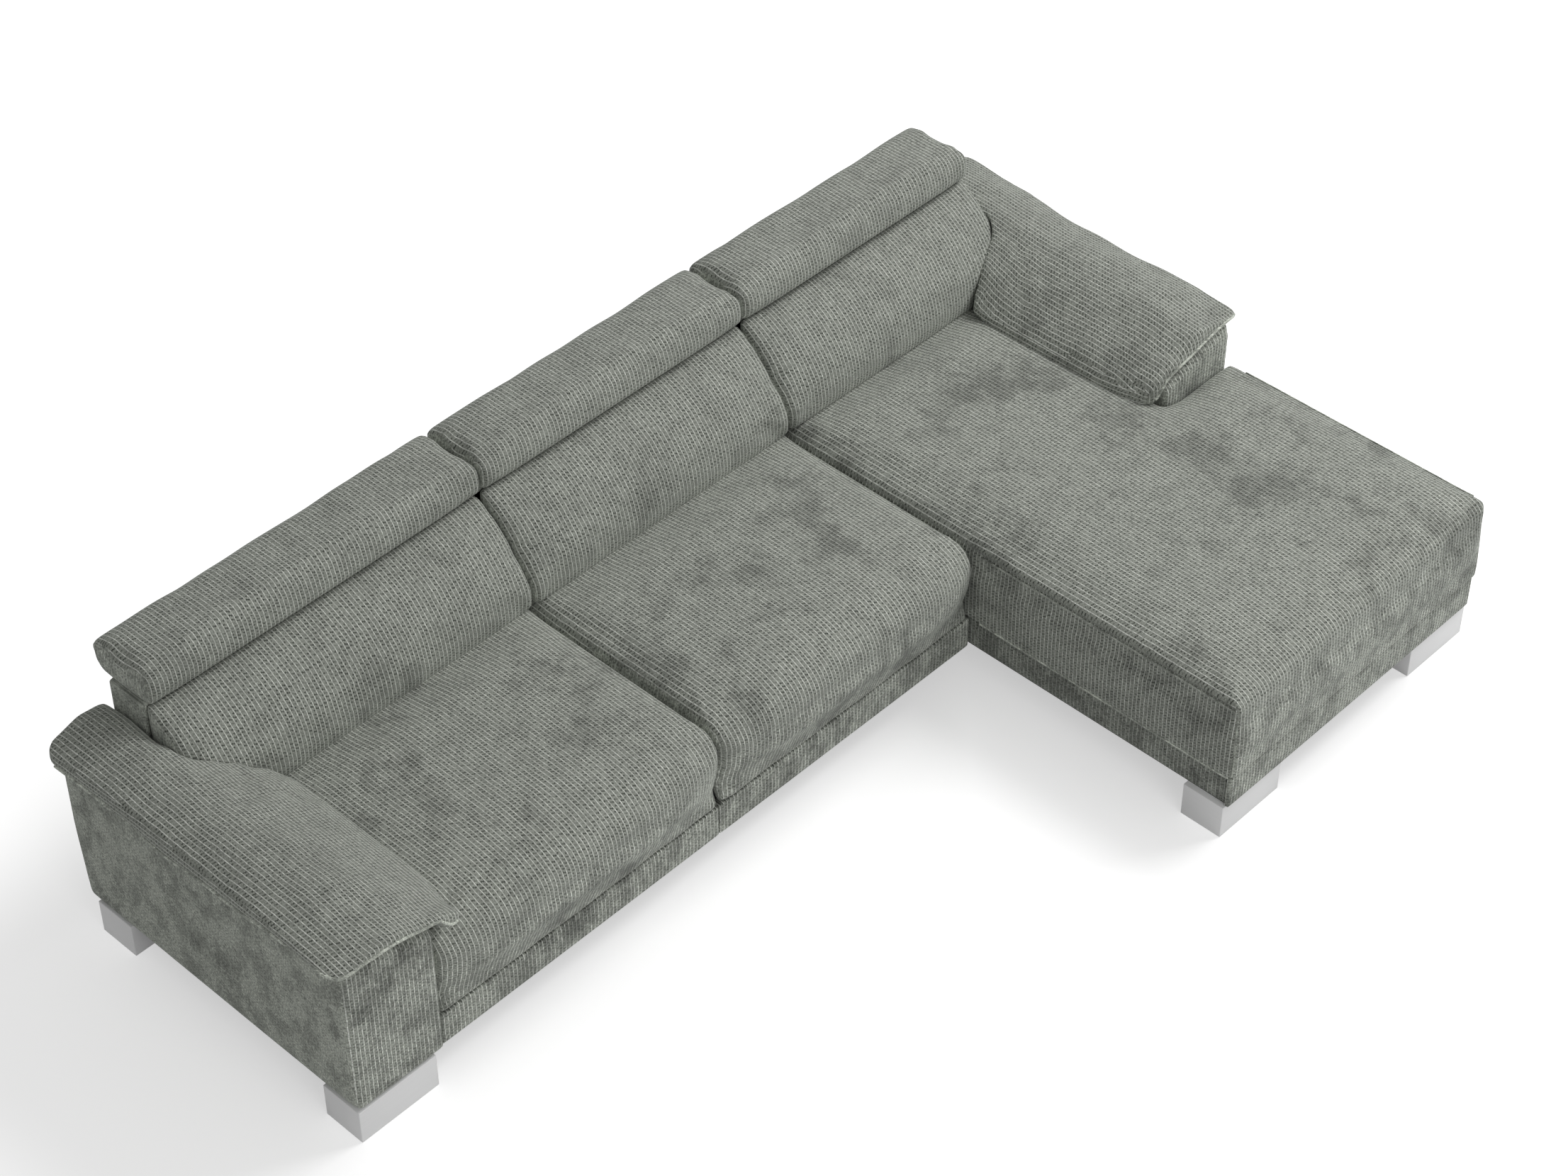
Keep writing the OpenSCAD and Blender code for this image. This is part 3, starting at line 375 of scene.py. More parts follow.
sofa_cloth = chenille("sage_chenille")
# the same cloth painted darker, with fainter pale yarn: painted shade for the panel under the chaise's
# overhang
painted_shade_cloth = chenille("sage_chenille_painted_shade", pale=0.7, tone=0.72)
# pale plain cloth: real pale piping on the pads, and a painted highlight on the chaise's lower left edge
pale_piping_and_highlight = chenille("sage_edging_pale_and_highlight", pale=0.0, tufts=0.2, tone=1.55)
grey_edging = chenille("sage_edging_grey", pale=0.0, tufts=0.2, tone=1.15)
print("cloth with", len(sofa_cloth.node_tree.nodes), "nodes")

# %% [markdown]
# ## Blocks and outlines
# Each cushion starts as a plain block, or as the outline it shows from the side, drawn out over its
# width. An outline is a few corners, each with how far its rounding reaches. Bevels then round the
# long edges. A bmesh is used, because its operators make the faces and keep them closed.

# %% Block and outline helpers


def block(low, high):
    """A bmesh box between two corners."""
    low, high = Vector(low), Vector(high)
    bm = bmesh.new()
    bmesh.ops.create_cube(bm, size=1.0)
    bmesh.ops.scale(bm, vec=high - low, verts=bm.verts)
    bmesh.ops.translate(bm, vec=(low + high) / 2, verts=bm.verts)
    return bm


def rounded(*corners, steps=7):
    """An outline through corners, each a place and how far its rounding reaches along both sides."""
    outline = []
    for index, (a, b, reach) in enumerate(corners):
        corner = Vector((a, b))
        before, after = Vector(corners[index - 1][:2]), Vector(corners[(index + 1) % len(corners)][:2])
        if reach == 0:
            outline.append(corner)
            continue
        start, end = (corner + (side - corner).normalized() * reach for side in (before, after))
        for step in range(steps + 1):
            t = step / steps
            outline.append(start * (1 - t) ** 2 + corner * 2 * t * (1 - t) + end * t * t)
    return outline


def outline_block(points, along, start, end):
    """An outline of few points, in the two axes other than along, drawn out from start to end."""
    bm = bmesh.new()
    others = [axis for axis in range(3) if axis != along]
    ring = []
    for point in points:
        place = [0.0, 0.0, 0.0]
        place[along] = start
        place[others[0]], place[others[1]] = point
        ring.append(bm.verts.new(place))
    drawn = bmesh.ops.extrude_face_region(bm, geom=[bm.faces.new(ring)])
    move = Vector((0, 0, 0))
    move[along] = end - start
    bmesh.ops.translate(bm, vec=move, verts=[g for g in drawn["geom"] if isinstance(g, bmesh.types.BMVert)])
    bmesh.ops.recalc_face_normals(bm, faces=bm.faces)
    return bm


def round_edges(bm, radius, segments, where=lambda middle, way: True):
    """Bevels the edges whose middle and direction pass a test."""
    chosen = [e for e in bm.edges
              if where((e.verts[0].co + e.verts[1].co) / 2, (e.verts[1].co - e.verts[0].co).normalized())]
    bmesh.ops.bevel(bm, geom=chosen, offset=radius, offset_type="OFFSET", segments=segments, profile=0.5,
                    affect="EDGES", clamp_overlap=True, material=-1)


def round_end(way):
    """Whether an edge runs round one end of a piece, square to the sofa's width."""
    return abs(way.x) < 0.1


def cut_in_squares(bm, step):
    """Cuts a bmesh into squares of about this size."""
    for axis in range(3):
        values = [v.co[axis] for v in bm.verts]
        first, last = min(values), max(values)
        count = int((last - first) / step)
        for index in range(1, count):
            place, facing = Vector((0, 0, 0)), Vector((0, 0, 0))
            place[axis] = first + index * (last - first) / count
            facing[axis] = 1
            bmesh.ops.bisect_plane(bm, geom=bm.verts[:] + bm.edges[:] + bm.faces[:],
                                   plane_co=place, plane_no=facing)


print("block helpers ready")

# %% [markdown]
# ## Even nets
# A voxel remesh gives a piece an even net of small squares, because a block has points at its corners
# only, and a crowned form and Cloth need them everywhere. The points are read into an array co, moved
# all at once with formulas, and written back.
# Where a cell writes x, y, z = co.T, the three are the array's columns, so z += 0.01 lifts the points.
# The formulas are made of smooth steps, humps, and a fullness that is 1 in the middle of a width.

# %% Net helpers


def to_piece(name, bm):
    """Turns a bmesh into an object at the origin."""
    data = bpy.data.meshes.new(name)
    bm.to_mesh(data)
    bm.free()
    piece = bpy.data.objects.new(name, data)
    scene.collection.objects.link(piece)
    return piece


def settle(piece):
    """Applies every modifier of a piece."""
    depsgraph = bpy.context.evaluated_depsgraph_get()
    data = bpy.data.meshes.new_from_object(piece.evaluated_get(depsgraph))
    old = piece.data
    piece.modifiers.clear()
    piece.data = data
    data.name = piece.name
    bpy.data.meshes.remove(old)


def loosen(piece, rounds, strength=0.5):
    """Smooths a piece's net."""
    smooth = piece.modifiers.new("loosen", "SMOOTH")
    smooth.factor, smooth.iterations = strength, rounds
    settle(piece)


def netted(name, bm, voxel, rounds, strength=0.5):
    """A piece from a bmesh, with an even net of squares of this size, smoothed so many rounds."""
    piece = to_piece(name, bm)
    remesh = piece.modifiers.new("even", "REMESH")
    remesh.mode, remesh.voxel_size, remesh.use_smooth_shade = "VOXEL", voxel, True
    settle(piece)
    loosen(piece, rounds, strength)
    return piece


def finer(piece):
    """Subdivides a piece's net once."""
    subdivision = piece.modifiers.new("finer", "SUBSURF")
    subdivision.levels = subdivision.render_levels = 1
    settle(piece)


def hollow(piece, bm):
    """Takes the room for what is inside out of a piece."""
    room = to_piece("room", bm)
    cut = piece.modifiers.new("cut", "BOOLEAN")
    cut.operation, cut.solver, cut.object = "DIFFERENCE", "EXACT", room
    settle(piece)
    bpy.data.objects.remove(room)


def places(piece):
    """A piece's points as an array of rows x, y, z."""
    co = np.zeros(len(piece.data.vertices) * 3, np.float32)
    piece.data.vertices.foreach_get("co", co)
    return co.reshape(-1, 3).astype(float)


def place_all(piece, co):
    """Writes a piece's points back."""
    piece.data.vertices.foreach_set("co", co.astype(np.float32).ravel())
    piece.data.update()


def keep_inside(piece, low, high):
    """Presses a piece flat where it would pass a box, as a neighbour or the floor presses it."""
    place_all(piece, np.clip(places(piece), np.array(low), np.array(high)))


def ease(value, low, high):
    """A smooth step on an array: 0 up to low, 1 from high on."""
    t = np.clip((value - low) / (high - low), 0.0, 1.0)
    return t * t * (3 - 2 * t)


def full(value, low, high, power):
    """Fullness over a width: 1 in the middle, 0 at both ends and outside."""
    return 1 - np.clip(np.abs(2 * (value - low) / (high - low) - 1), 0, 1) ** power


def hump(value, middle, width):
    """A soft hump of height 1."""
    return np.exp(-((value - middle) / width) ** 2)


def lumps(co, size, seed):
    """A soft random hill and dale between -1 and 1 over places, about this size across."""
    draw = np.random.default_rng(seed)
    total = np.zeros(len(co))
    for _ in range(9):
        way = draw.normal(size=3)
        way *= draw.uniform(0.7, 1.5) * 2 * math.pi / size / np.linalg.norm(way)
        total += np.sin(co @ way + draw.uniform(0, 6.28))
    return np.clip(total / 4.0, -1, 1)


print("net helpers ready")

# %% [markdown]
# ## Filling
# A cushion is a closed bag with a filling that presses outwards. Blender's Cloth does the same with its
# pressure, without gravity. It runs for a few frames and is applied. The pressure only rounds and
# loosens the form: no point may move further than a cap, so the cushion keeps its size. Each cushion
# says which points are held, such as those that a frame or a neighbour touches.

# %% Filling
FRAMES, PRESSURE, STIFFNESS = 12, 4.0, 12.0


def fill(piece, cap, held):
    """Blows a piece up with Cloth. held gives each point from 0, free, to 1, held. cap is in metres."""
    rest = places(piece)
    group = piece.vertex_groups.new(name="held")
    for index, weight in enumerate(np.clip(held(rest), 0.0, 1.0)):
        if weight > 0.01:
            group.add([index], float(weight), "REPLACE")
    cloth = piece.modifiers.new("filling", "CLOTH")
    sets = cloth.settings
    sets.quality, sets.mass, sets.air_damping = 4, 0.25, 2.0
    sets.tension_stiffness = sets.compression_stiffness = STIFFNESS
    sets.shear_stiffness, sets.bending_stiffness = STIFFNESS / 2, 2.0
    sets.use_pressure, sets.uniform_pressure_force = True, PRESSURE
    sets.vertex_group_mass = "held"
    sets.effector_weights.gravity = 0.0
    cloth.collision_settings.use_collision = False
    cloth.collision_settings.use_self_collision = False
    cloth.point_cache.frame_start, cloth.point_cache.frame_end = 1, FRAMES
    for frame_number in range(1, FRAMES + 1):
        scene.frame_set(frame_number)
    settle(piece)
    scene.frame_set(1)
    moved = places(piece) - rest
    length = np.linalg.norm(moved, axis=1, keepdims=True)
    moved *= np.minimum(1.0, cap / np.maximum(length, 1e-9))
    place_all(piece, rest + moved)
    loosen(piece, 3)
    furthest = float(np.minimum(length, cap).max())
    print(piece.name, "filled: moved up to", round(furthest * 1000, 1), "mm")


print("a filling runs over", FRAMES, "frames")

# %% [markdown]
# ## How the cloth lies
# Each piece says by a rule how its cloth lies: which way the stripes run, and where it is plain. The
# rule is worked out from the places and the face normals, and stored on the face corners, so that two
# faces that meet at an edge can carry different cloth, as at a seam.

# %% Cloth helpers
FLANK, FRONT = 0.72, 0.72        # a face whose normal turns further that way is a flank or a front
MOTTLED = 0.35                   # the weave's third value on striped fronts with dark mottling
MARK_STEP = 0.006                # between the marks laid along an outline


def lay_cloth(piece, rule):
    """Stores how the cloth lies. rule takes rows of places and of normals and gives u, v, plain."""
    data = piece.data
    corners = np.zeros(len(data.loops), np.int32)
    data.loops.foreach_get("vertex_index", corners)
    sizes = np.zeros(len(data.polygons), np.int32)
    data.polygons.foreach_get("loop_total", sizes)
    normals = np.zeros(len(data.polygons) * 3, np.float32)
    data.polygons.foreach_get("normal", normals)
    normals = np.repeat(normals.reshape(-1, 3), sizes, axis=0)
    weave = np.stack(rule(places(piece)[corners], normals), axis=1)
    attribute = data.attributes.new("weave", "FLOAT_VECTOR", "CORNER")
    attribute.data.foreach_set("vector", weave.astype(np.float32).ravel())


def upright_cloth(plainness):
    """Cloth whose stripes stand upright on every side. plainness gives its third value from the normals."""
    def rule(co, normals):
        flank = np.abs(normals[:, 0]) > FLANK
        return np.where(flank, co[:, 1], co[:, 0]), co[:, 2], plainness(normals, flank)
    return rule


def along_outline(outline, spots):
    """How far along a closed outline the nearest point to each spot lies."""
    ring = np.array([tuple(p) for p in outline] + [tuple(outline[0])])
    sides = np.diff(ring, axis=0)
    lengths = np.linalg.norm(sides, axis=1)
    count = np.maximum(1, (lengths / MARK_STEP).astype(int))
    start = np.concatenate([[0.0], np.cumsum(lengths)])
    marks, runs, ways = [], [], []
    for index, pieces in enumerate(count):
        share = (np.arange(pieces) + 0.5) / pieces
        marks.append(ring[index] + share[:, None] * sides[index])
        runs.append(start[index] + share * lengths[index])
        ways.append(np.repeat(sides[index][None] / max(lengths[index], 1e-9), pieces, axis=0))
    marks, runs, ways = np.concatenate(marks), np.concatenate(runs), np.concatenate(ways)
    found, batch = np.empty(len(spots)), 20000
    for first in range(0, len(spots), batch):
        part = spots[first:first + batch]
        nearest = ((part[:, None] - marks[None]) ** 2).sum(axis=2).argmin(axis=1)
        found[first:first + batch] = runs[nearest] + ((part - marks[nearest]) * ways[nearest]).sum(axis=1)
    return found


def over_edges(across, low, high, reach):
    """A place across the cloth, counted along the skin where it goes round the edges at low and high."""
    for edge, inward in ((low, 1), (high, -1)):
        past = np.clip(reach - inward * (across - edge), 0, reach)
        across = across - inward * (reach * np.arcsin(past / reach) - past)
    return across


def cushion_cloth(outline, low, high, reach, plain=0.8, turn_at=0.92, mottled_to=0.1):
    """Cloth for a cushion drawn out along x: stripes run round its outline, its end faces are plainer."""
    def rule(co, normals):
        end = np.abs(normals[:, 0]) > turn_at
        run = along_outline(outline, co[:, 1:3])
        across = over_edges(co[:, 0], low.x, high.x, reach)
        mottled = MOTTLED * (1 - ease(co[:, 2], 0.27, 0.36)) * (co[:, 1] < mottled_to)
        return np.where(end, co[:, 1], across), np.where(end, co[:, 2], run), np.maximum(end * plain, mottled)
    return rule


def finish_soft(piece, node, rule, body="base", finish=sofa_cloth):
    """Lays and gives a padded piece its cloth, puts it under its body, and hides the CAD node it stands for.
    """
    lay_cloth(piece, rule)
    piece.data.materials.clear()
    piece.data.materials.append(finish)
    piece.data.shade_smooth()
    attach(piece, body)
    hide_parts(node)
    print(piece.name, "has", len(piece.data.polygons), "faces")


print("cloth helpers ready")

# %% [markdown]
# ## Sewn lines
# Where two panels are sewn together, the seam sinks in, or a thin edging stands on it. The groove is
# pressed into the net, so that light finds it. The edging is a curve with a round section, laid on the
# skin and made a mesh, because a curve follows a line of points with little work.

# %% Sewn line helpers


def groove(piece, line, width, depth):
    """Presses a sewn line into a piece: points near the line move in along their normals."""
    tree_of_line = KDTree(len(line))
    for index, point in enumerate(line):
        tree_of_line.insert(point, index)
    tree_of_line.balance()
    co = places(piece)
    reach = 3 * width
    low, high = np.min(line, axis=0) - reach, np.max(line, axis=0) + reach
    for index in np.nonzero(np.all((co > low) & (co < high), axis=1))[0]:
        vertex = piece.data.vertices[index]
        away = tree_of_line.find(vertex.co)[2]
        if away < reach:
            co[index] -= np.array(vertex.normal) * depth * math.exp(-(away / width) ** 2)
    place_all(piece, co)


def edge_cord(name, piece, line, radius, finish):
    """A sewn edging: a thin round cord laid on a piece's skin along a line."""
    nearest = [piece.closest_point_on_mesh(Vector(point)) for point in line]
    route = np.array([place + 0.4 * radius * normal for _, place, normal, _ in nearest])
    for _ in range(4):
        route[1:-1] = (route[:-2] + 2 * route[1:-1] + route[2:]) / 4
    curve = bpy.data.curves.new(name, "CURVE")
    curve.dimensions, curve.bevel_depth, curve.bevel_resolution, curve.use_fill_caps = "3D", radius, 2, True
    spline = curve.splines.new("POLY")
    spline.points.add(len(route) - 1)
    spline.points.foreach_set("co", np.hstack([route, np.ones((len(route), 1))]).ravel())
    drawn = bpy.data.objects.new(name + "_route", curve)
    scene.collection.objects.link(drawn)
    depsgraph = bpy.context.evaluated_depsgraph_get()
    cord = bpy.data.objects.new(name, bpy.data.meshes.new_from_object(drawn.evaluated_get(depsgraph)))
    scene.collection.objects.link(cord)
    bpy.data.objects.remove(drawn)
    lay_cloth(cord, lambda co, normals: (co[:, 2], co[:, 1] + co[:, 0], np.ones(len(co)) * 0.5))
    cord.data.materials.append(finish)
    cord.data.shade_smooth()
    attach(cord, "base")
    print(name, "laid through", len(route), "points")


def lower_edge(piece, sign, stations):
    """Places along y on the lower rounding of a piece's outer side, where its skin faces a little down."""
    co = places(piece)
    normals = np.zeros(len(co) * 3, np.float32)
    piece.data.vertices.foreach_get("normal", normals)
    normals = normals.reshape(-1, 3)
    outer = np.nonzero(sign * normals[:, 0] > 0.6)[0]
    line = []
    for y in stations:
        near = outer[np.abs(co[outer, 1] - y) < 0.008]
        line.append(co[near[np.abs(normals[near, 2] + 0.42).argmin()]])
    return line


print("sewn line helpers ready")

# %% [markdown]
# ## The seat cushions
# Each of the two seats is a foam block in a cover. From the side its outline is a box with a wide round
# front edge, and its front runs down over the rail and tucks in to the plinth. The outline is drawn
# once and drawn out over the seat's width. Then the top is crowned: full in the middle, lower at the
# sides, and pressed flat where the back cushion stands on it. The room for the foam is cut out last.

# %% Seat cushions
SEAT_TOP, SEAT_LOW, DECK = 0.400, 0.176, 0.2346
BACK_FOOT = 0.4675               # where the back cushions stand on the seats, in y
SEAT_ROUND = 0.029
END_GAP = 0.002                  # a drawn-out cushion starts this far inside the ends of its CAD box
FOAM_ROOM = Vector((0.001, 0.001, 0.001))


def at_ends(middle, low, high):
    """Whether an edge lies at one of the two ends of a drawn-out cushion."""
    return min(middle.x - low.x, high.x - middle.x) < 0.003


def make_seat(node, seed):
    low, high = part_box(node)
    lip = low.y + 0.0655         # behind the rail, where the lower front is tucked in
    outline = rounded((low.y + 0.042, SEAT_LOW, 0.006), (low.y, SEAT_LOW + 0.115, 0.06),
                      (low.y, SEAT_TOP, 0.074), (high.y, SEAT_TOP, 0), (high.y, DECK, 0),
                      (lip, DECK, 0), (lip, SEAT_LOW, 0.004))
    bm = outline_block(outline, 0, low.x + END_GAP, high.x - END_GAP)
    round_edges(bm, SEAT_ROUND, 5, lambda middle, way: at_ends(middle, low, high) and round_end(way)
                and middle.z > DECK + 0.01 and middle.y < 0.6)
    piece = netted(node.replace("cushion", "cushion_cover"), bm, 0.010, 3)

    co = places(piece)
    x, y, z = co.T
    on_top = ease(z, 0.30, 0.395)
    across = full(x, low.x, high.x, 2.8)
    back = 1 - ease(y, 0.36, BACK_FOOT + 0.02)
    front = ease(y, low.y, low.y + 0.20)
    z += 0.024 * on_top * across * (0.15 + 0.85 * front) * (0.12 + 0.88 * back)
    z += 0.0018 * on_top * across * lumps(co, 0.22, seed) * back
    # the front bows out between its side seams, and is flush with the arm's front at its ends
    face = 1 - ease(y, low.y + 0.02, low.y + 0.12)
    corner = (1 - full(x, low.x, high.x, 5.0)) * ease(z, SEAT_LOW, 0.24)
    low_lumps = 0.002 * lumps(co, 0.10, seed + 100) * (1 - ease(z, 0.24, 0.34))
    y += face * (0.032 * corner + low_lumps)
    place_all(piece, co)

    def held(rest):
        ends = 1 - full(rest[:, 0], low.x, high.x, 14.0)
        front_ends = ends * (1 - ease(rest[:, 1], low.y + 0.05, low.y + 0.12))
        return np.maximum.reduce([1 - ease(rest[:, 2], 0.24, 0.27), ease(rest[:, 1], 0.50, 0.56), front_ends])

    fill(piece, 0.007, held)
    keep_inside(piece, low + Vector((-0.0006, 0, 0)), high + Vector((0.0006, 0, 0.002)))
    finer(piece)
    foam_low, foam_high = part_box(node.replace("cushion", "foam"))
    hollow(piece, block(foam_low - Vector((0.001, 0.001, 0.01)), foam_high + FOAM_ROOM))
    finish_soft(piece, node, cushion_cloth(outline, low, high, SEAT_ROUND))


make_seat("seat_cushion_left", 11)
make_seat("seat_cushion_middle", 12)

# %% [markdown]
# ## The chaise cushion
# One long cushion fills the corner and runs out to the front. Seen from above it is an L, because it
# goes round the right arm. It is a box cushion: its edges are tighter than the seats', and only its
# top is crowned. So it is drawn as an L, drawn up, and lifted in the middle by how far each point is
# from the edges. Its front edge is a wide round and its left edge a narrow one, with a seam below.

# %% Chaise cushion
chaise_low, chaise_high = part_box("chaise_cushion")
ARM_FRONT, ARM_INNER = -0.0785, 1.127        # where the right arm's front and inner side touch it
CHAISE_TOP = SEAT_TOP - 0.004
ROUND_FRONT, ROUND_LEFT = 0.031, 0.019
SEAM_HEIGHT = CHAISE_TOP - ROUND_LEFT


def l_outline(inset, corner=0.0):
    """The chaise's L from above, moved in by a distance."""
    left, right = chaise_low.x + inset, chaise_high.x - inset
    front, rear = chaise_low.y + inset, chaise_high.y - inset
    notch_x, notch_y = ARM_INNER - inset, ARM_FRONT - inset
    return rounded((left, front, corner), (right, front, corner), (right, notch_y, 0.3 * corner),
                   (notch_x, notch_y, 0), (notch_x, rear, 0), (left, rear, 0), steps=5)


def chaise_fullness(x, y):
    """How full the top is at each place: 0 at the edges, 1 well inside."""
    def rise(distance, reach):
        return 1 - (1 - np.clip(distance / reach, 0, 1)) ** 2.4
    beside_arm = ease(y, -0.22, -0.05)
    right = (rise(chaise_high.x - x, 0.26) * (1 - beside_arm)
             + rise(ARM_INNER + 0.05 - x, 0.2) * beside_arm)
    return (rise(x - chaise_low.x, 0.26) * right * rise(y - chaise_low.y, 0.30)
            * (1 - 0.85 * ease(y, 0.38, BACK_FOOT + 0.02)))


bm = outline_block(l_outline(0.001, 0.020), 2, SEAT_LOW, CHAISE_TOP)
round_edges(bm, 0.011, 3, lambda middle, way: middle.z > SEAT_TOP - 0.01 and abs(way.z) < 0.1
            and (middle.y < ARM_FRONT - 0.01 or middle.x < chaise_low.x + 0.01) and middle.y < 0.64)
round_edges(bm, 0.006, 2, lambda middle, way: middle.z < SEAT_LOW + 0.001 and abs(way.z) < 0.1)
chaise = netted("chaise_cushion_cover", bm, 0.010, 2, 0.4)

# the front and the left edge are drawn in to arcs
co = places(chaise)
x, y, z = co.T
for column, level, radius in ((y, chaise_low.y + 0.001, np.full(len(co), ROUND_FRONT)),
                              (x, chaise_low.x + 0.001, ROUND_LEFT + 0.015 * ease(y, -0.13, -0.03))):
    inward, down = column - level - radius, z - CHAISE_TOP + radius
    shorter = np.minimum(1.0, radius / np.maximum(np.hypot(inward, down), 1e-6))
    outer = (inward < 0) & (down > 0)
    column[outer] -= (inward * (1 - shorter))[outer]
    z[outer] -= (down * (1 - shorter))[outer]

# the top is crowned, and the cushion is filled
fullness = chaise_fullness(x, y)
z += 0.027 * ease(z, 0.34, 0.385) * fullness
z += 0.0016 * ease(z, 0.34, 0.385) * lumps(co, 0.30, 21) * fullness
place_all(chaise, co)
fill(chaise, 0.006, lambda rest: np.maximum(1 - ease(rest[:, 2], 0.20, 0.25), ease(rest[:, 1], 0.50, 0.56)))
keep_inside(chaise, chaise_low + Vector((0.0, -0.006, 0)), chaise_high + Vector((0.009, 0, 0.004)))

# %% [markdown]
# ### Where the chaise cushion meets the arm, and its seam
# Points that the filling pushed into the arm's corner go back to the nearer of its two sides. Then the
# net is made finer, the seam below the left edge is pressed in, and the rooms for the frame and the
# foam are cut out.

# %% Chaise cushion at the arm, and its seam
co = places(chaise)
x, y, z = co.T
in_x, in_y = x - ARM_INNER, y - ARM_FRONT
inside_arm = (in_x > 0) & (in_y > 0)
x[inside_arm & (in_x < in_y)] = ARM_INNER
y[inside_arm & (in_x >= in_y)] = ARM_FRONT
place_all(chaise, co)
finer(chaise)
left_line = [(chaise_low.x - 0.01, y, SEAM_HEIGHT + 0.0045)
             for y in np.linspace(chaise_low.y + 0.02, -0.10, 160)]
skin_line = np.array([chaise.closest_point_on_mesh(Vector(point))[1] for point in left_line])
groove(chaise, skin_line, 0.0035, 0.0035)
hollow(chaise, outline_block(l_outline(0.0192), 2, SEAT_LOW - 0.02, DECK))
hollow(chaise, outline_block(l_outline(0.050), 2, DECK - 0.01, 0.377))
print("chaise seam at", round(SEAM_HEIGHT, 3), "m, through", len(left_line), "points")

# %% [markdown]
# ### The chaise cushion's cloth and edgings
# The stripes run from front to rear over the top and upright down the sides. The left side is painted a
# little darker, as painted shade on a side that faces away from the key lamp. A grey edging is sewn
# along the left edge and down the front left corner, another along the right edge, and a pale cord
# along the lower left edge, whose lightness is a painted highlight on that rim.

# %% Chaise cloth and edgings
# how much darker the chaise's left side is painted: painted shade
PAINTED_SIDE_SHADE = 0.13


def chaise_cloth(co, normals):
    side = (np.abs(normals[:, 0]) > FLANK) & (co[:, 2] < SEAM_HEIGHT + 0.004)
    front = (normals[:, 1] < -FRONT) & ~side
    mottled = MOTTLED * (1 - ease(co[:, 2], 0.30, 0.39)) * (front | (side & (normals[:, 0] > 0)))
    across = over_edges(co[:, 0], chaise_low.x, chaise_high.x, ROUND_LEFT)
    # the left side's painted shade, as a weave value below 0
    left_painted_shade = PAINTED_SIDE_SHADE * side * (normals[:, 0] < 0)
    return np.where(side, co[:, 1], across), np.where(side | front, co[:, 2], co[:, 1]), mottled - left_painted_shade


finish_soft(chaise, "chaise_cushion", chaise_cloth)
beside = chaise_low.x - 0.006
left_edge = [(beside, y, SEAM_HEIGHT) for y in np.linspace(-0.10, chaise_low.y + 0.012, 90)]
left_edge += [(beside, chaise_low.y - 0.006, z)
              for z in np.linspace(SEAM_HEIGHT - 0.006, SEAT_LOW + 0.004, 26)]
right_edge = [(chaise_high.x + 0.006, y, 0.41) for y in np.linspace(-0.13, chaise_low.y + 0.045, 90)]
# this pale cord stands in for the lit rim of the lower left edge: a painted highlight
highlight_line = [(beside, y, SEAT_LOW - 0.006) for y in np.linspace(-0.10, chaise_low.y + 0.01, 90)]
edge_cord("chaise_edging_left", chaise, left_edge, 0.0020, grey_edging)
edge_cord("chaise_edging_right", chaise, right_edge, 0.0024, grey_edging)
edge_cord("chaise_highlight_cord_low", chaise, highlight_line, 0.0026, pale_piping_and_highlight)

# %% [markdown]
# ## The back cushions
# Three cushions lean against the back frame, one behind each seat. Each swells forward above the seat,
# curls in under itself at the bottom, and slopes back up to the headrest. The outer two reach out over
# the arms, so the arm's sloping top is cut out of them. Their end faces are plain cloth.

# %% Back cushions
BACK_TOP, BACK_ROUND = 0.634, 0.026
ARM_START, ARM_WIDTH = 1.128, 0.232          # an arm's inner side in x, and its width
ARM_TOP_LOW, ARM_RISE = 0.450, 0.070         # its top's height at the inner side, and how far it rises
CLEAR_OF_ARM = 1.1275                        # where what reaches over an arm is cut, just inside it


def arm_top(x):
    """Height of the arm's sloping top at a place across it, on either side."""
    return ARM_TOP_LOW + ARM_RISE * (abs(x) - ARM_START) / ARM_WIDTH


def arm_wedge(side, far, bottom):
    """The arm as seen from the front, out to far, to be cut out of what reaches over it."""
    inner = side * CLEAR_OF_ARM
    return [(inner, bottom), (far, bottom), (far, arm_top(far) + 0.001), (inner, arm_top(ARM_START) + 0.001)]


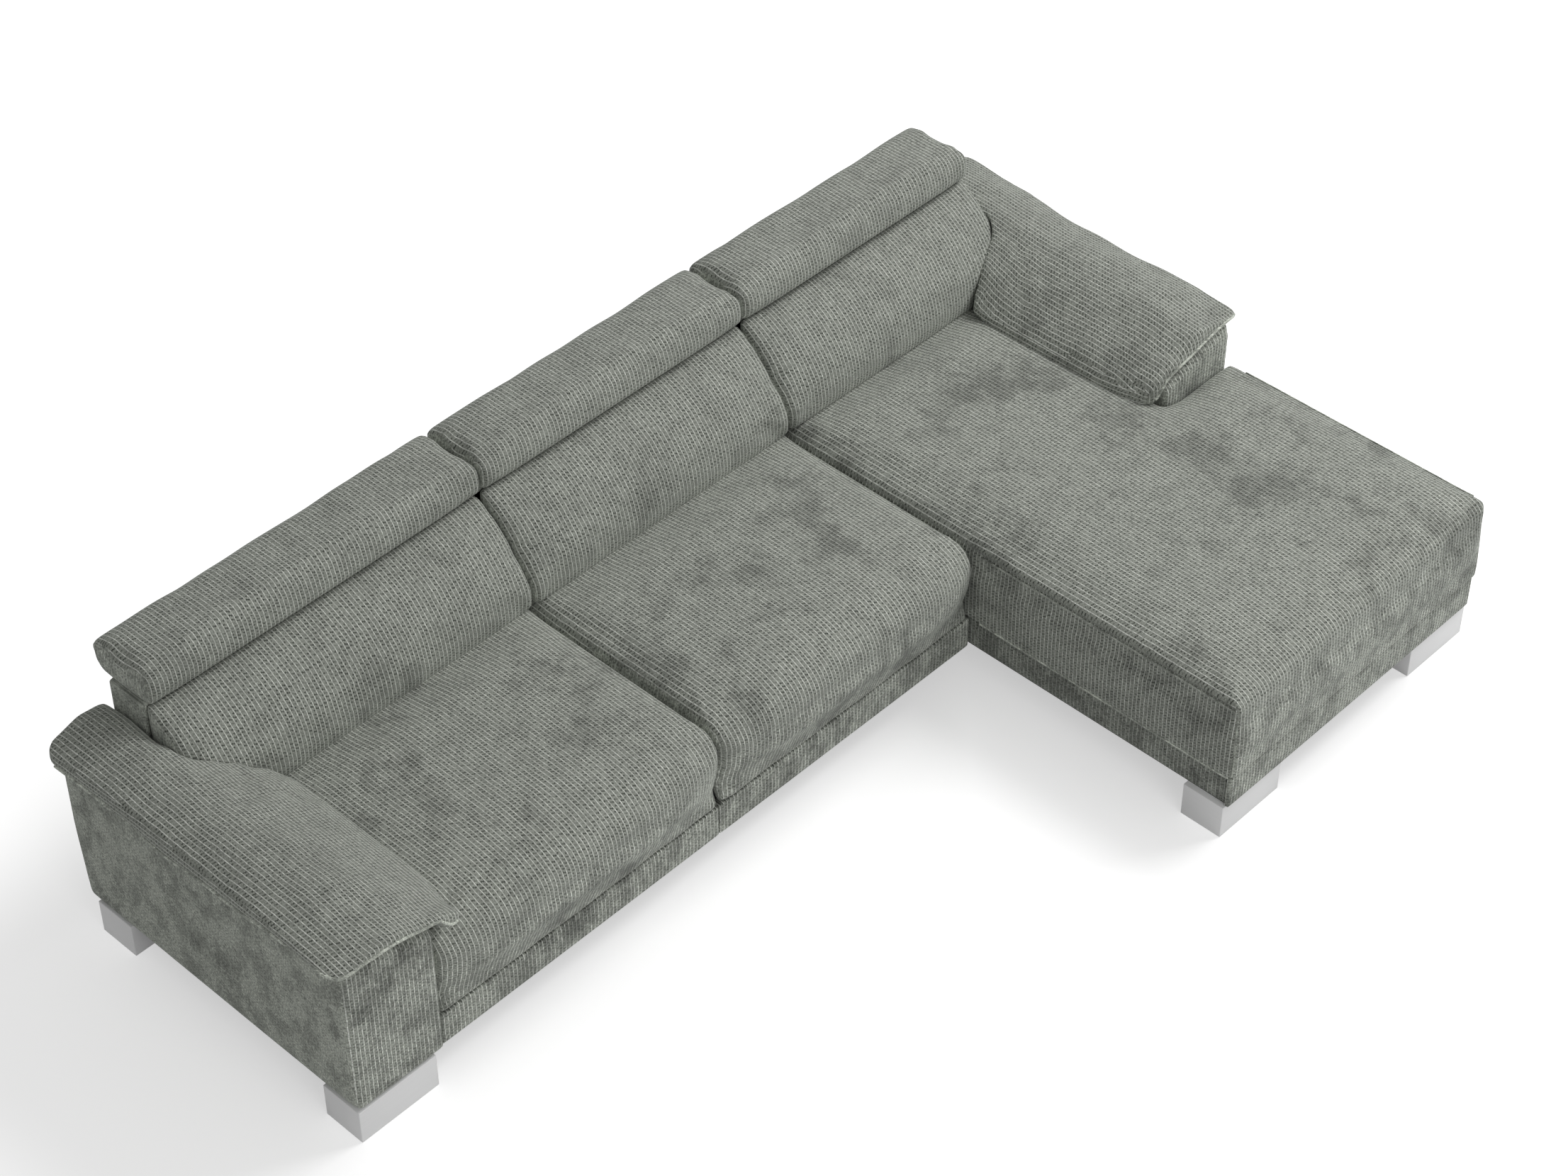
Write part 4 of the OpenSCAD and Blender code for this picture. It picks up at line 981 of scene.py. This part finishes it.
def make_back(node, seed):
    low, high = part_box(node)
    outline = rounded((BACK_FOOT + 0.014, low.z, 0.012), (BACK_FOOT - 0.004, 0.425, 0.03),
                      (BACK_FOOT + 0.010, 0.482, 0.04), (0.571, 0.603, 0.055),
                      (high.y - 0.012, BACK_TOP, 0.012), (high.y, BACK_TOP, 0), (high.y, low.z, 0))
    bm = outline_block(outline, 0, low.x + END_GAP, high.x - END_GAP)
    round_edges(bm, BACK_ROUND, 5, lambda middle, way: at_ends(middle, low, high) and round_end(way)
                and middle.y < 0.64 and middle.z > low.z + 0.002)
    piece = netted(node.replace("cushion", "cushion_cover"), bm, 0.009, 4)

    co = places(piece)
    x, y, z = co.T
    across = full(x, low.x, high.x, 3.0)
    face = 1 - ease(y, 0.60, 0.645)
    mid = full(z, 0.39, 0.66, 2.0)
    out = 0.012 * face * mid * (across - 0.35) + 0.002 * face * lumps(co, 0.18, seed)
    y -= 0.72 * out
    z += 0.5 * out * ease(z, 0.44, 0.52)
    place_all(piece, co)
    fill(piece, 0.008, lambda rest: np.maximum(ease(rest[:, 1], 0.625, 0.64),
                                               1 - ease(rest[:, 2], 0.402, 0.41)))
    keep_inside(piece, low + Vector((0.0005, -0.006, 0)), high + Vector((-0.0005, 0, 0)))
    finer(piece)
    for side, edge in ((-1, low.x), (1, high.x)):
        if abs(edge) > 1.2:      # this end reaches over an arm
            hollow(piece, outline_block(arm_wedge(side, edge + side * 0.03, 0.3), 1, 0.3, 0.8))
    finish_soft(piece, node, cushion_cloth(outline, low, high, BACK_ROUND))


make_back("back_cushion_left", 31)
make_back("back_cushion_middle", 32)
make_back("back_cushion_right", 33)

# %% [markdown]
# ## The headrests
# A headrest is a long pad with a full round front, its nose, which turns about the hinge pins. It lies
# flat on the back cushion and hangs a little over the rear. Its top falls at both ends. The lower front
# of the nose is kept within one distance of the pins, so that it clears the back cushion as it turns.

# %% Headrests
NOSE, NOSE_UNDER, HEADREST_ROUND = 0.050, 0.034, 0.024
PIN = np.array((0.6625, 0.686))  # the hinge pins, in y and z
NOSE_REACH = 0.0545              # as far as the lower front of the nose may reach from them


def make_headrest(side, seed):
    node = "headrest_cushion_" + side
    low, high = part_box(node)
    top = high.z - 0.006
    outline = rounded((low.y, low.z, NOSE_UNDER), (low.y, top, NOSE), (high.y - 0.012, top, 0.045),
                      (high.y, 0.690, 0.030), (high.y - 0.014, low.z, 0.030))
    bm = outline_block(outline, 0, low.x + END_GAP, high.x - END_GAP)
    round_edges(bm, HEADREST_ROUND, 4, lambda middle, way: round_end(way))
    piece = netted(node.replace("cushion", "cushion_cover"), bm, 0.009, 4)

    co = places(piece)
    x, y, z = co.T
    across = full(x, low.x, high.x, 3.2)
    above = ease(z, 0.69, 0.73)
    z -= 0.012 * above * (1 - across)
    z += 0.0022 * above * across * lumps(co, 0.16, seed)
    y += 0.006 * (1 - ease(y, 0.61, 0.66)) * (1 - across)
    place_all(piece, co)
    fill(piece, 0.007, lambda rest: (1 - ease(rest[:, 2], 0.637, 0.642)) * 0.9)
    keep_inside(piece, low + Vector((0.0005, -0.003, 0)), high + Vector((-0.0005, 0.003, 0.006)))

    co = places(piece)
    from_pin = co[:, 1:3] - PIN
    under_nose = (from_pin < 0).all(axis=1)
    length = np.linalg.norm(from_pin, axis=1)
    shorter = np.where(under_nose, np.minimum(1.0, NOSE_REACH / np.maximum(length, 1e-6)), 1.0)
    co[:, 1:3] = PIN + from_pin * shorter[:, None]
    place_all(piece, co)
    finer(piece)
    finish_soft(piece, node, cushion_cloth(outline, low, high, HEADREST_ROUND), "headrest_" + side)


make_headrest("left", 41)
make_headrest("middle", 42)
make_headrest("right", 43)

# %% [markdown]
# ## The arms
# An arm is a board box under a padded cover. Its top slopes down to the seat, and its lower rear corner
# is a round heel. So a block is drawn with round corners, its top is lowered to the slope, and its rear
# is drawn in at the heel. The outer side is plain cloth with dark brushed patches, and the front carries
# the stripes upright. The cover is hollow: the room for the boards is cut out of it.

# %% Arm covers
ARM_BOARD_ROOM = 0.0145          # from the cover's top, front and rear in to the boards
BOARDS_INNER, BOARDS_OUTER, SPARE = 1.143, 1.345, 0.001
LAP_Y = 0.222                    # where the front half of the outer cloth laps over the rear half


def arm_plainness(normals, flank):
    """Plain on the outer side and the rear, mottled stripes on the front."""
    rear, front = normals[:, 1] > FLANK, (normals[:, 1] < -0.5) & ~flank
    plain = np.maximum(ease(np.abs(normals[:, 0]), 0.45, 0.95), rear * 1.0)
    return np.maximum(plain, MOTTLED * front)


def make_arm(side, sign, seed):
    node = side + "_arm_cover"
    low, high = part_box(node)
    outline = rounded((low.y, low.z, 0.010), (low.y, 0.530, 0.045), (high.y, 0.530, 0.020),
                      (high.y, low.z, 0.008))
    bm = outline_block(outline, 0, low.x, high.x)
    round_edges(bm, 0.026, 5, lambda middle, way: round_end(way))
    piece = netted(side + "_arm_upholstery", bm, 0.011, 2)

    co = places(piece)
    x, y, z = co.T
    top = arm_top(x)
    lowered = top - 0.06 + (z - top + 0.06) * 0.06 / (0.59 - top)
    z[:] = np.where(z > top - 0.06, lowered, z)
    bow = full(y, low.y, high.y, 4.0) * full(z, low.z, 0.5, 3.0)
    rear = ease(y, 0.70, high.y)
    y += rear * (0.011 * ease(z, 0.12, 0.32) - 0.004 * (1 - ease(z, 0.09, 0.16)))
    outer = ease(sign * x, BOARDS_OUTER, 1.355)
    in_front = 1 - ease(y, LAP_Y - 0.006, LAP_Y + 0.006)
    lap = 0.0035 * in_front * ease(z, 0.10, 0.14) if sign < 0 else 0
    x += sign * outer * (0.002 * bow + 0.0016 * bow * lumps(co, 0.25, seed) + lap)
    place_all(piece, co)
    keep_inside(piece, low - Vector((0.004, 0.004, 0)), high + Vector((0.004, 0.014, 0.004)))
    finer(piece)

    near, far = sorted((sign * (BOARDS_OUTER + SPARE), sign * (BOARDS_INNER - SPARE)))
    room = [(near, 0.08), (far, 0.08), (far, arm_top(far) - ARM_BOARD_ROOM),
            (near, arm_top(near) - ARM_BOARD_ROOM)]
    hollow(piece, outline_block(room, 1, low.y + ARM_BOARD_ROOM, high.y - ARM_BOARD_ROOM))
    finish_soft(piece, node, upright_cloth(arm_plainness))


make_arm("left", -1, 51)
make_arm("right", 1, 52)

# %% [markdown]
# ## The arm pads
# A loose thick pad lies over each arm. It hangs over the outer side, rolls over the front, and ends in a
# soft edge over the seat, and its rear end is cut round the back cushion. It is a bag, filled and then
# bent over the arm. So its plan is drawn flat and drawn up, its edges are rounded, and every point is
# lifted between two heights: the pad's underside, which follows the arm, and its top. Last, what would
# sink into the back cushion is pressed out of it. A pale edging runs round the lower edge.

# %% The form of an arm pad
PAD_FLAT = 0.06                  # thickness of the flat bag before it is bent
PAD_TOP, PAD_EDGE = 0.5585, 0.443
ARM_OUT = 1.360                  # the arm's outer face in x
BACK_END = 1.230                 # where the outer back cushions end in x
PRESSED_ROUND = 0.030            # how round a pad lies against the back cushion's front corner


def pad_heights(u, y, reach, front, curl):
    """Underside and top of a pad, u in from the arm's outer face. curl is how far the front lip lifts."""
    fall = np.clip((u - 0.100) / (reach - 0.100), 0, 1)
    top = PAD_TOP - (PAD_TOP - PAD_EDGE) * fall ** 1.3
    top -= 0.026 * (1 - ease(u, -0.045, 0.065))
    lip = 1 - ease(y, front, front + 0.075)
    top += (0.017 * ease(y, 0.36, 0.66) - 0.016 * (1 - ease(y, front - 0.01, 0.07))
            + 0.020 * curl * lip * ease(u, 0.16, 0.30))
    sag = 0.010 + 0.024 * hump(y, 0.42, 0.15) + 0.012 * hump(y, 0.20, 0.09)
    on_arm = 0.5215 - ARM_RISE * np.clip(u, 0, ARM_WIDTH) / ARM_WIDTH
    under = on_arm - sag * (1 - ease(u, -0.012, -0.001))
    under -= (on_arm - 0.410 - 0.012 * ease(y, 0.0, 0.3)) * ease(u, ARM_WIDTH - 0.002, ARM_WIDTH + 0.024)
    under += curl * lip * (0.010 + 0.024 * ease(u, 0.0, 0.20))
    return under, top


def back_face(z):
    """Where a back cushion's front face is at a height."""
    return BACK_FOOT - 0.012 + 0.169 * np.clip((z - 0.400) / 0.234, 0, 1.2) ** 2


def press_out(co, sign):
    """Presses points out of a back cushion, to its front face or its end face, whichever is nearer."""
    x, y, z = co.T
    past_end = (BACK_END + 0.0005) - sign * x
    past_face = y - back_face(z) + 0.001
    into = np.minimum(past_end, past_face)
    near = (past_end > 0) & (past_face > 0) & (z > 0.40)
    corner = near & (past_end < PRESSED_ROUND) & (past_face < PRESSED_ROUND)
    side = near & ~corner & (past_end <= past_face)
    face = near & ~corner & (past_end > past_face)
    x[side] += sign * into[side]
    y[face] -= into[face]
    inward = np.stack([PRESSED_ROUND - past_end, PRESSED_ROUND - past_face], axis=1)[corner]
    length = np.maximum(np.linalg.norm(inward, axis=1), 1e-6)
    shift = inward * (np.maximum(PRESSED_ROUND / length, 1.0) - 1.0)[:, None]
    x[corner] += sign * shift[:, 0]
    y[corner] -= shift[:, 1]
    return co


print("the pads' top is", PAD_TOP, "m high")

# %% [markdown]
# ### Making the two pads
# Both pads come from one function. The left one reaches further over the seat, and its front lip curls
# up more, as the photograph shows. Small crumples lie where the cloth is loose, beside the back.

# %% Arm pads


def pad_plan(reach, front):
    """The flat bag from above: u in from the arm's outer face, and y."""
    rear = 0.782
    return rounded((-0.030, front, 0.034), (-0.030, 0.50, 0.10), (-0.040, rear, 0.045),
                   (0.127, rear, 0.020), (0.127, 0.600, 0.010), (0.160, 0.535, 0.020),
                   (0.270, 0.480, 0.030), (reach - 0.006, 0.448, 0.020), (reach, 0.40, 0.030),
                   (reach, 0.04, 0.060), (reach - 0.030, front + 0.006, 0.030))


def pad_edging_line(piece, sign, reach, front, curl):
    """The edging's line: forward along the outer side, round the corner and along the front."""
    line = lower_edge(piece, sign, np.linspace(0.750, front + 0.032, 150))
    spots = [(-0.050 + 0.05 * t, front + 0.010 - 0.03 * t) for t in np.linspace(0.2, 0.9, 8)]
    spots += [(u, front - 0.022) for u in np.linspace(0.008, reach - 0.04, 50)]
    along = np.array(spots)
    under = pad_heights(np.maximum(along[:, 0], -0.028), along[:, 1], reach, front, curl)[0]
    return line + [(sign * (ARM_OUT - u), y, z) for (u, y), z in zip(along, under + 0.010)]


def make_pad(side, sign, reach, front, curl, seed):
    bm = outline_block(pad_plan(reach, front), 2, 0.0, PAD_FLAT)
    round_edges(bm, 0.026, 5, lambda middle, way: abs(way.z) < 0.1)
    piece = netted(side + "_arm_pad_cover", bm, 0.008, 3)

    co = places(piece)
    u, y = co[:, 0].copy(), co[:, 1].copy()
    flat_place = np.stack([u, y, 0 * u], axis=1)
    under, top = pad_heights(u, y, reach, front, curl)
    co[:, 2] = under + co[:, 2] / PAD_FLAT * (top - under)
    co[:, 2] += 0.0030 * ease(co[:, 2], under + 0.02, top) * lumps(flat_place, 0.16, seed)
    crumpled = ease(u, 0.10, 0.17) * ease(y, 0.26, 0.36) * ease(co[:, 2], under + 0.02, top)
    co[:, 2] += 0.0042 * crumpled * lumps(flat_place, 0.055, seed + 7)
    co[:, 0] = sign * (ARM_OUT - u)
    place_all(piece, co)
    if sign > 0:
        piece.data.flip_normals()

    def held(rest):
        u = ARM_OUT - sign * rest[:, 0]
        under, _ = pad_heights(u, rest[:, 1], reach, front, curl)
        return (1 - ease(rest[:, 2], under + 0.002, under + 0.010)) * ease(u, -0.004, 0.004)

    fill(piece, 0.004, held)
    place_all(piece, press_out(places(piece), sign))
    finer(piece)

    def cloth(co, normals):
        turn = np.abs(normals)
        flank = (turn[:, 0] > 0.78) & (turn[:, 0] > turn[:, 1])
        nose = (normals[:, 1] < -0.78) & ~flank
        across = ARM_OUT - sign * co[:, 0]
        run = (across + 0.5 * np.clip(across - 0.10, 0, 1) ** 2
               + 0.05 * hump(co[:, 1], 0.56, 0.12) * ease(across, 0.08, 0.30))
        return np.where(flank, co[:, 2], run), np.where(nose, co[:, 2], co[:, 1]), np.zeros(len(co))

    finish_soft(piece, side + "_arm_pad", cloth)
    line = pad_edging_line(piece, sign, reach, front, curl)
    edge_cord(side + "_pad_edging", piece, line, 0.0032, pale_piping_and_highlight)


make_pad("left", -1, 0.322, -0.106, 1.0, 61)
make_pad("right", 1, 0.307, -0.076, 0.25, 62)

# %% [markdown]
# ## The low panels
# Under the cushions the base is closed by thin padded panels: one under each seat and three round the
# chaise. They are boxes cut into a grid, so that they can swell a few millimetres between their edges.

# %% Plinths and chaise panels


def make_panel(node, out, seed, finish=sofa_cloth, sunk=0.0):
    low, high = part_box(node)
    bm = block(low, high)
    round_edges(bm, 0.0045, 3)
    cut_in_squares(bm, 0.03)
    piece = to_piece(node + "_cover", bm)
    co = places(piece)
    out = np.array(out, float)
    axis = int(np.abs(out).argmax())
    along = 1 - axis
    level = np.array(high if out[axis] > 0 else low)[axis]
    face = 1 - ease(np.abs(co[:, axis] - level), 0.001, 0.008)
    bow = full(co[:, along], low[along], high[along], 6.0) * full(co[:, 2], low.z, high.z, 3.0)
    co += out * (face * (0.0028 * bow + 0.0008 * bow * lumps(co, 0.2, seed) - sunk))[:, None]
    place_all(piece, co)
    finer(piece)
    mottled = upright_cloth(lambda normals, flank: np.full(len(normals), MOTTLED))
    finish_soft(piece, node, mottled, finish=finish)


make_panel("seat_plinth_left", (0, -1, 0), 71)
make_panel("seat_plinth_middle", (0, -1, 0), 72)
make_panel("chaise_front_panel", (0, -1, 0), 73)
# the left panel is sunk and painted darker: painted shade under the cushion's overhang
make_panel("chaise_left_panel", (-1, 0, 0), 74, painted_shade_cloth, 0.008)
make_panel("chaise_right_panel", (1, 0, 0), 75)

# %% [markdown]
# ## The rear covers
# The back frame is closed by a padded cover for each of the two parts: a wall behind, a strip over the
# top under the headrests, and an end wall over the arm. The wall and the strip are one outline, the end
# wall is a box in the same mesh, and the remesh melts them into one skin.

# %% Rear covers
STRIP_LOW, WALL_FRONT = 0.618, 0.7475
END_WALL_LOW, END_WALL_THICK, MELT = 0.400, 0.016, 0.004


def make_rear_cover(node, end_side, seed):
    low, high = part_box(node)
    bm = outline_block([(low.y, STRIP_LOW), (WALL_FRONT, STRIP_LOW), (WALL_FRONT, low.z), (high.y, low.z),
                        (high.y, high.z), (low.y, high.z)], 0, low.x, high.x)
    edge = low.x if end_side < 0 else high.x
    end_low, end_high = sorted((edge, edge - end_side * END_WALL_THICK))
    wall = ((end_low, end_high), (low.y, WALL_FRONT + MELT), (END_WALL_LOW, STRIP_LOW + MELT))
    bmesh.ops.create_cube(bm, size=1.0, matrix=Matrix.LocRotScale(
        Vector([(a + b) / 2 for a, b in wall]), None, Vector([b - a for a, b in wall])))
    piece = netted(node + "_cover", bm, 0.0075, 3)

    co = places(piece)
    x, y, z = co.T
    behind = ease(y, 0.752, 0.760)
    bow = full(x, low.x, high.x, 8.0) * full(z, low.z, high.z, 4.0)
    y += behind * bow * (0.003 + 0.0012 * lumps(co, 0.3, seed))
    z -= 0.003 * ease(z, 0.622, 0.632) * (1 - ease(y, 0.69, 0.74))
    place_all(piece, co)
    hollow(piece, outline_block(arm_wedge(end_side, end_side * 1.26, 0.08), 1, 0.3, 0.7772))
    finish_soft(piece, node, upright_cloth(lambda normals, flank: np.ones(len(normals))))


make_rear_cover("sofa_rear_cover", -1, 81)
make_rear_cover("chaise_rear_cover", 1, 82)

# %% [markdown]
# ## The feet
# The feet are flat light metal blocks. Real edges are never quite sharp, and a thin bevel catches the
# light, so each foot is a box with a bevel. Its brushed look is noise drawn out level, round the block.

# %% Feet
FOOT = Vector((0.206, 0.108, 0.090))
FOOT_CORNERS = [(-1.360, -0.0775), (-1.360, 0.6355), (0.466, -0.7985), (1.154, -0.7985),
                (0.466, 0.6355), (1.154, 0.6355)]

foot_finish, tree, shader = new_finish("satin_grey_metal", roughness=0.5)
brushed = noise(stretched(object_place(tree), (6.0, 6.0, 500.0)), detail=3.0, rough=0.6)
join(blend_colours(brushed, (0.82, 0.82, 0.82, 1.0), (0.88, 0.88, 0.88, 1.0)), shader.inputs["Base Color"])
join(step_up(brushed, 0.2, 0.8, 0.34, 0.48), shader.inputs["Roughness"])

feet = bmesh.new()
for x, y in FOOT_CORNERS:
    bmesh.ops.create_cube(feet, size=1.0, matrix=Matrix.LocRotScale(Vector((x, y, 0)) + FOOT / 2, None, FOOT))
round_edges(feet, 0.0018, 3)
feet_piece = to_piece("metal_feet_blocks", feet)
feet_piece.data.materials.append(foot_finish)
feet_piece.data.shade_smooth()
feet_piece.data.set_sharp_from_angle(angle=math.radians(40))
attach(feet_piece, "base")
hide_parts("metal_feet")
print(len(FOOT_CORNERS), "feet")

# %% [markdown]
# ## Finishes of the hidden parts
# The frame, springs, foam and hinges keep their CAD meshes and get a plain finish each. Two close
# colours are mixed by noise on object coordinates, because these parts have no cloth to follow: drawn
# out along the grain in wood, in layers in plywood, and fine every way for grit. The boards next to a
# slit or a foot get the black lining cloth instead of wood, as painted shade: the slit reads as a dark
# shadow gap, and no bare wood shows there.

# %% Finishes of the hidden parts
# each slot's finish: name, two colours, how fine the noise is on each axis, roughness, metal, relief
GRAINS = {
    "wood": ("beech", (0.50, 0.33, 0.18), (0.60, 0.42, 0.25), (9, 60, 60), 0.62, 0.0, 0.0004),
    "plywood": ("plywood", (0.55, 0.39, 0.22), (0.66, 0.50, 0.31), (14, 14, 380), 0.66, 0.0, 0.0003),
    "spring_steel": ("spring_steel", (0.16, 0.16, 0.17), (0.26, 0.26, 0.27), (60, 60, 60), 0.38, 0.9, 0.0),
    "zinc_steel": ("zinc_steel", (0.46, 0.47, 0.49), (0.62, 0.63, 0.64), (70, 70, 70), 0.42, 0.9, 0.0),
    "black_plastic": ("black_plastic", (0.018, 0.018, 0.018), (0.03, 0.03, 0.03), (400, 400, 400),
                      0.5, 0.0, 0.0003),
    "foam": ("foam", (0.72, 0.68, 0.52), (0.80, 0.76, 0.60), (260, 260, 260), 0.95, 0.0, 0.001),
    "webbing": ("webbing", (0.05, 0.05, 0.05), (0.20, 0.20, 0.20), (300, 300, 300), 0.9, 0.0, 0.001),
    "dust_cloth": ("dust_cloth", (0.02, 0.02, 0.02), (0.045, 0.045, 0.045), (500, 500, 500),
                   0.95, 0.0, 0.0005),
}
# boards given the black lining as painted shade, so that their slits read as dark shadow gaps
PAINTED_SHADE_BOARDS = ("seat_front_rail", "left_arm_base_board", "right_arm_base_board")


def grainy(name, first, second, scale, roughness, metallic, relief):
    """A finish of two close colours mixed by stretched noise."""
    finish, tree, shader = new_finish(name, roughness, metallic)
    grain = noise(stretched(object_place(tree), scale), detail=4.0, rough=0.6)
    colour = blend_colours(step_up(grain, 0.3, 0.7), (*first, 1.0), (*second, 1.0))
    join(colour, shader.inputs["Base Color"])
    if relief:
        bumped(shader, grain, 0.4, relief)
    return finish


finishes = {slot: grainy(*row) for slot, row in GRAINS.items()}
finishes.update(fabric=sofa_cloth, foot_metal=foot_finish)
for part in frame["record"]["subparts"]:
    node = frame["nodes"][part["node"]]
    node.data.materials.clear()
    node.data.materials.append(finishes["dust_cloth" if part["node"] in PAINTED_SHADE_BOARDS else part["material_slot"]])
print(len(finishes), "finishes on", len(frame["nodes"]), "CAD nodes")
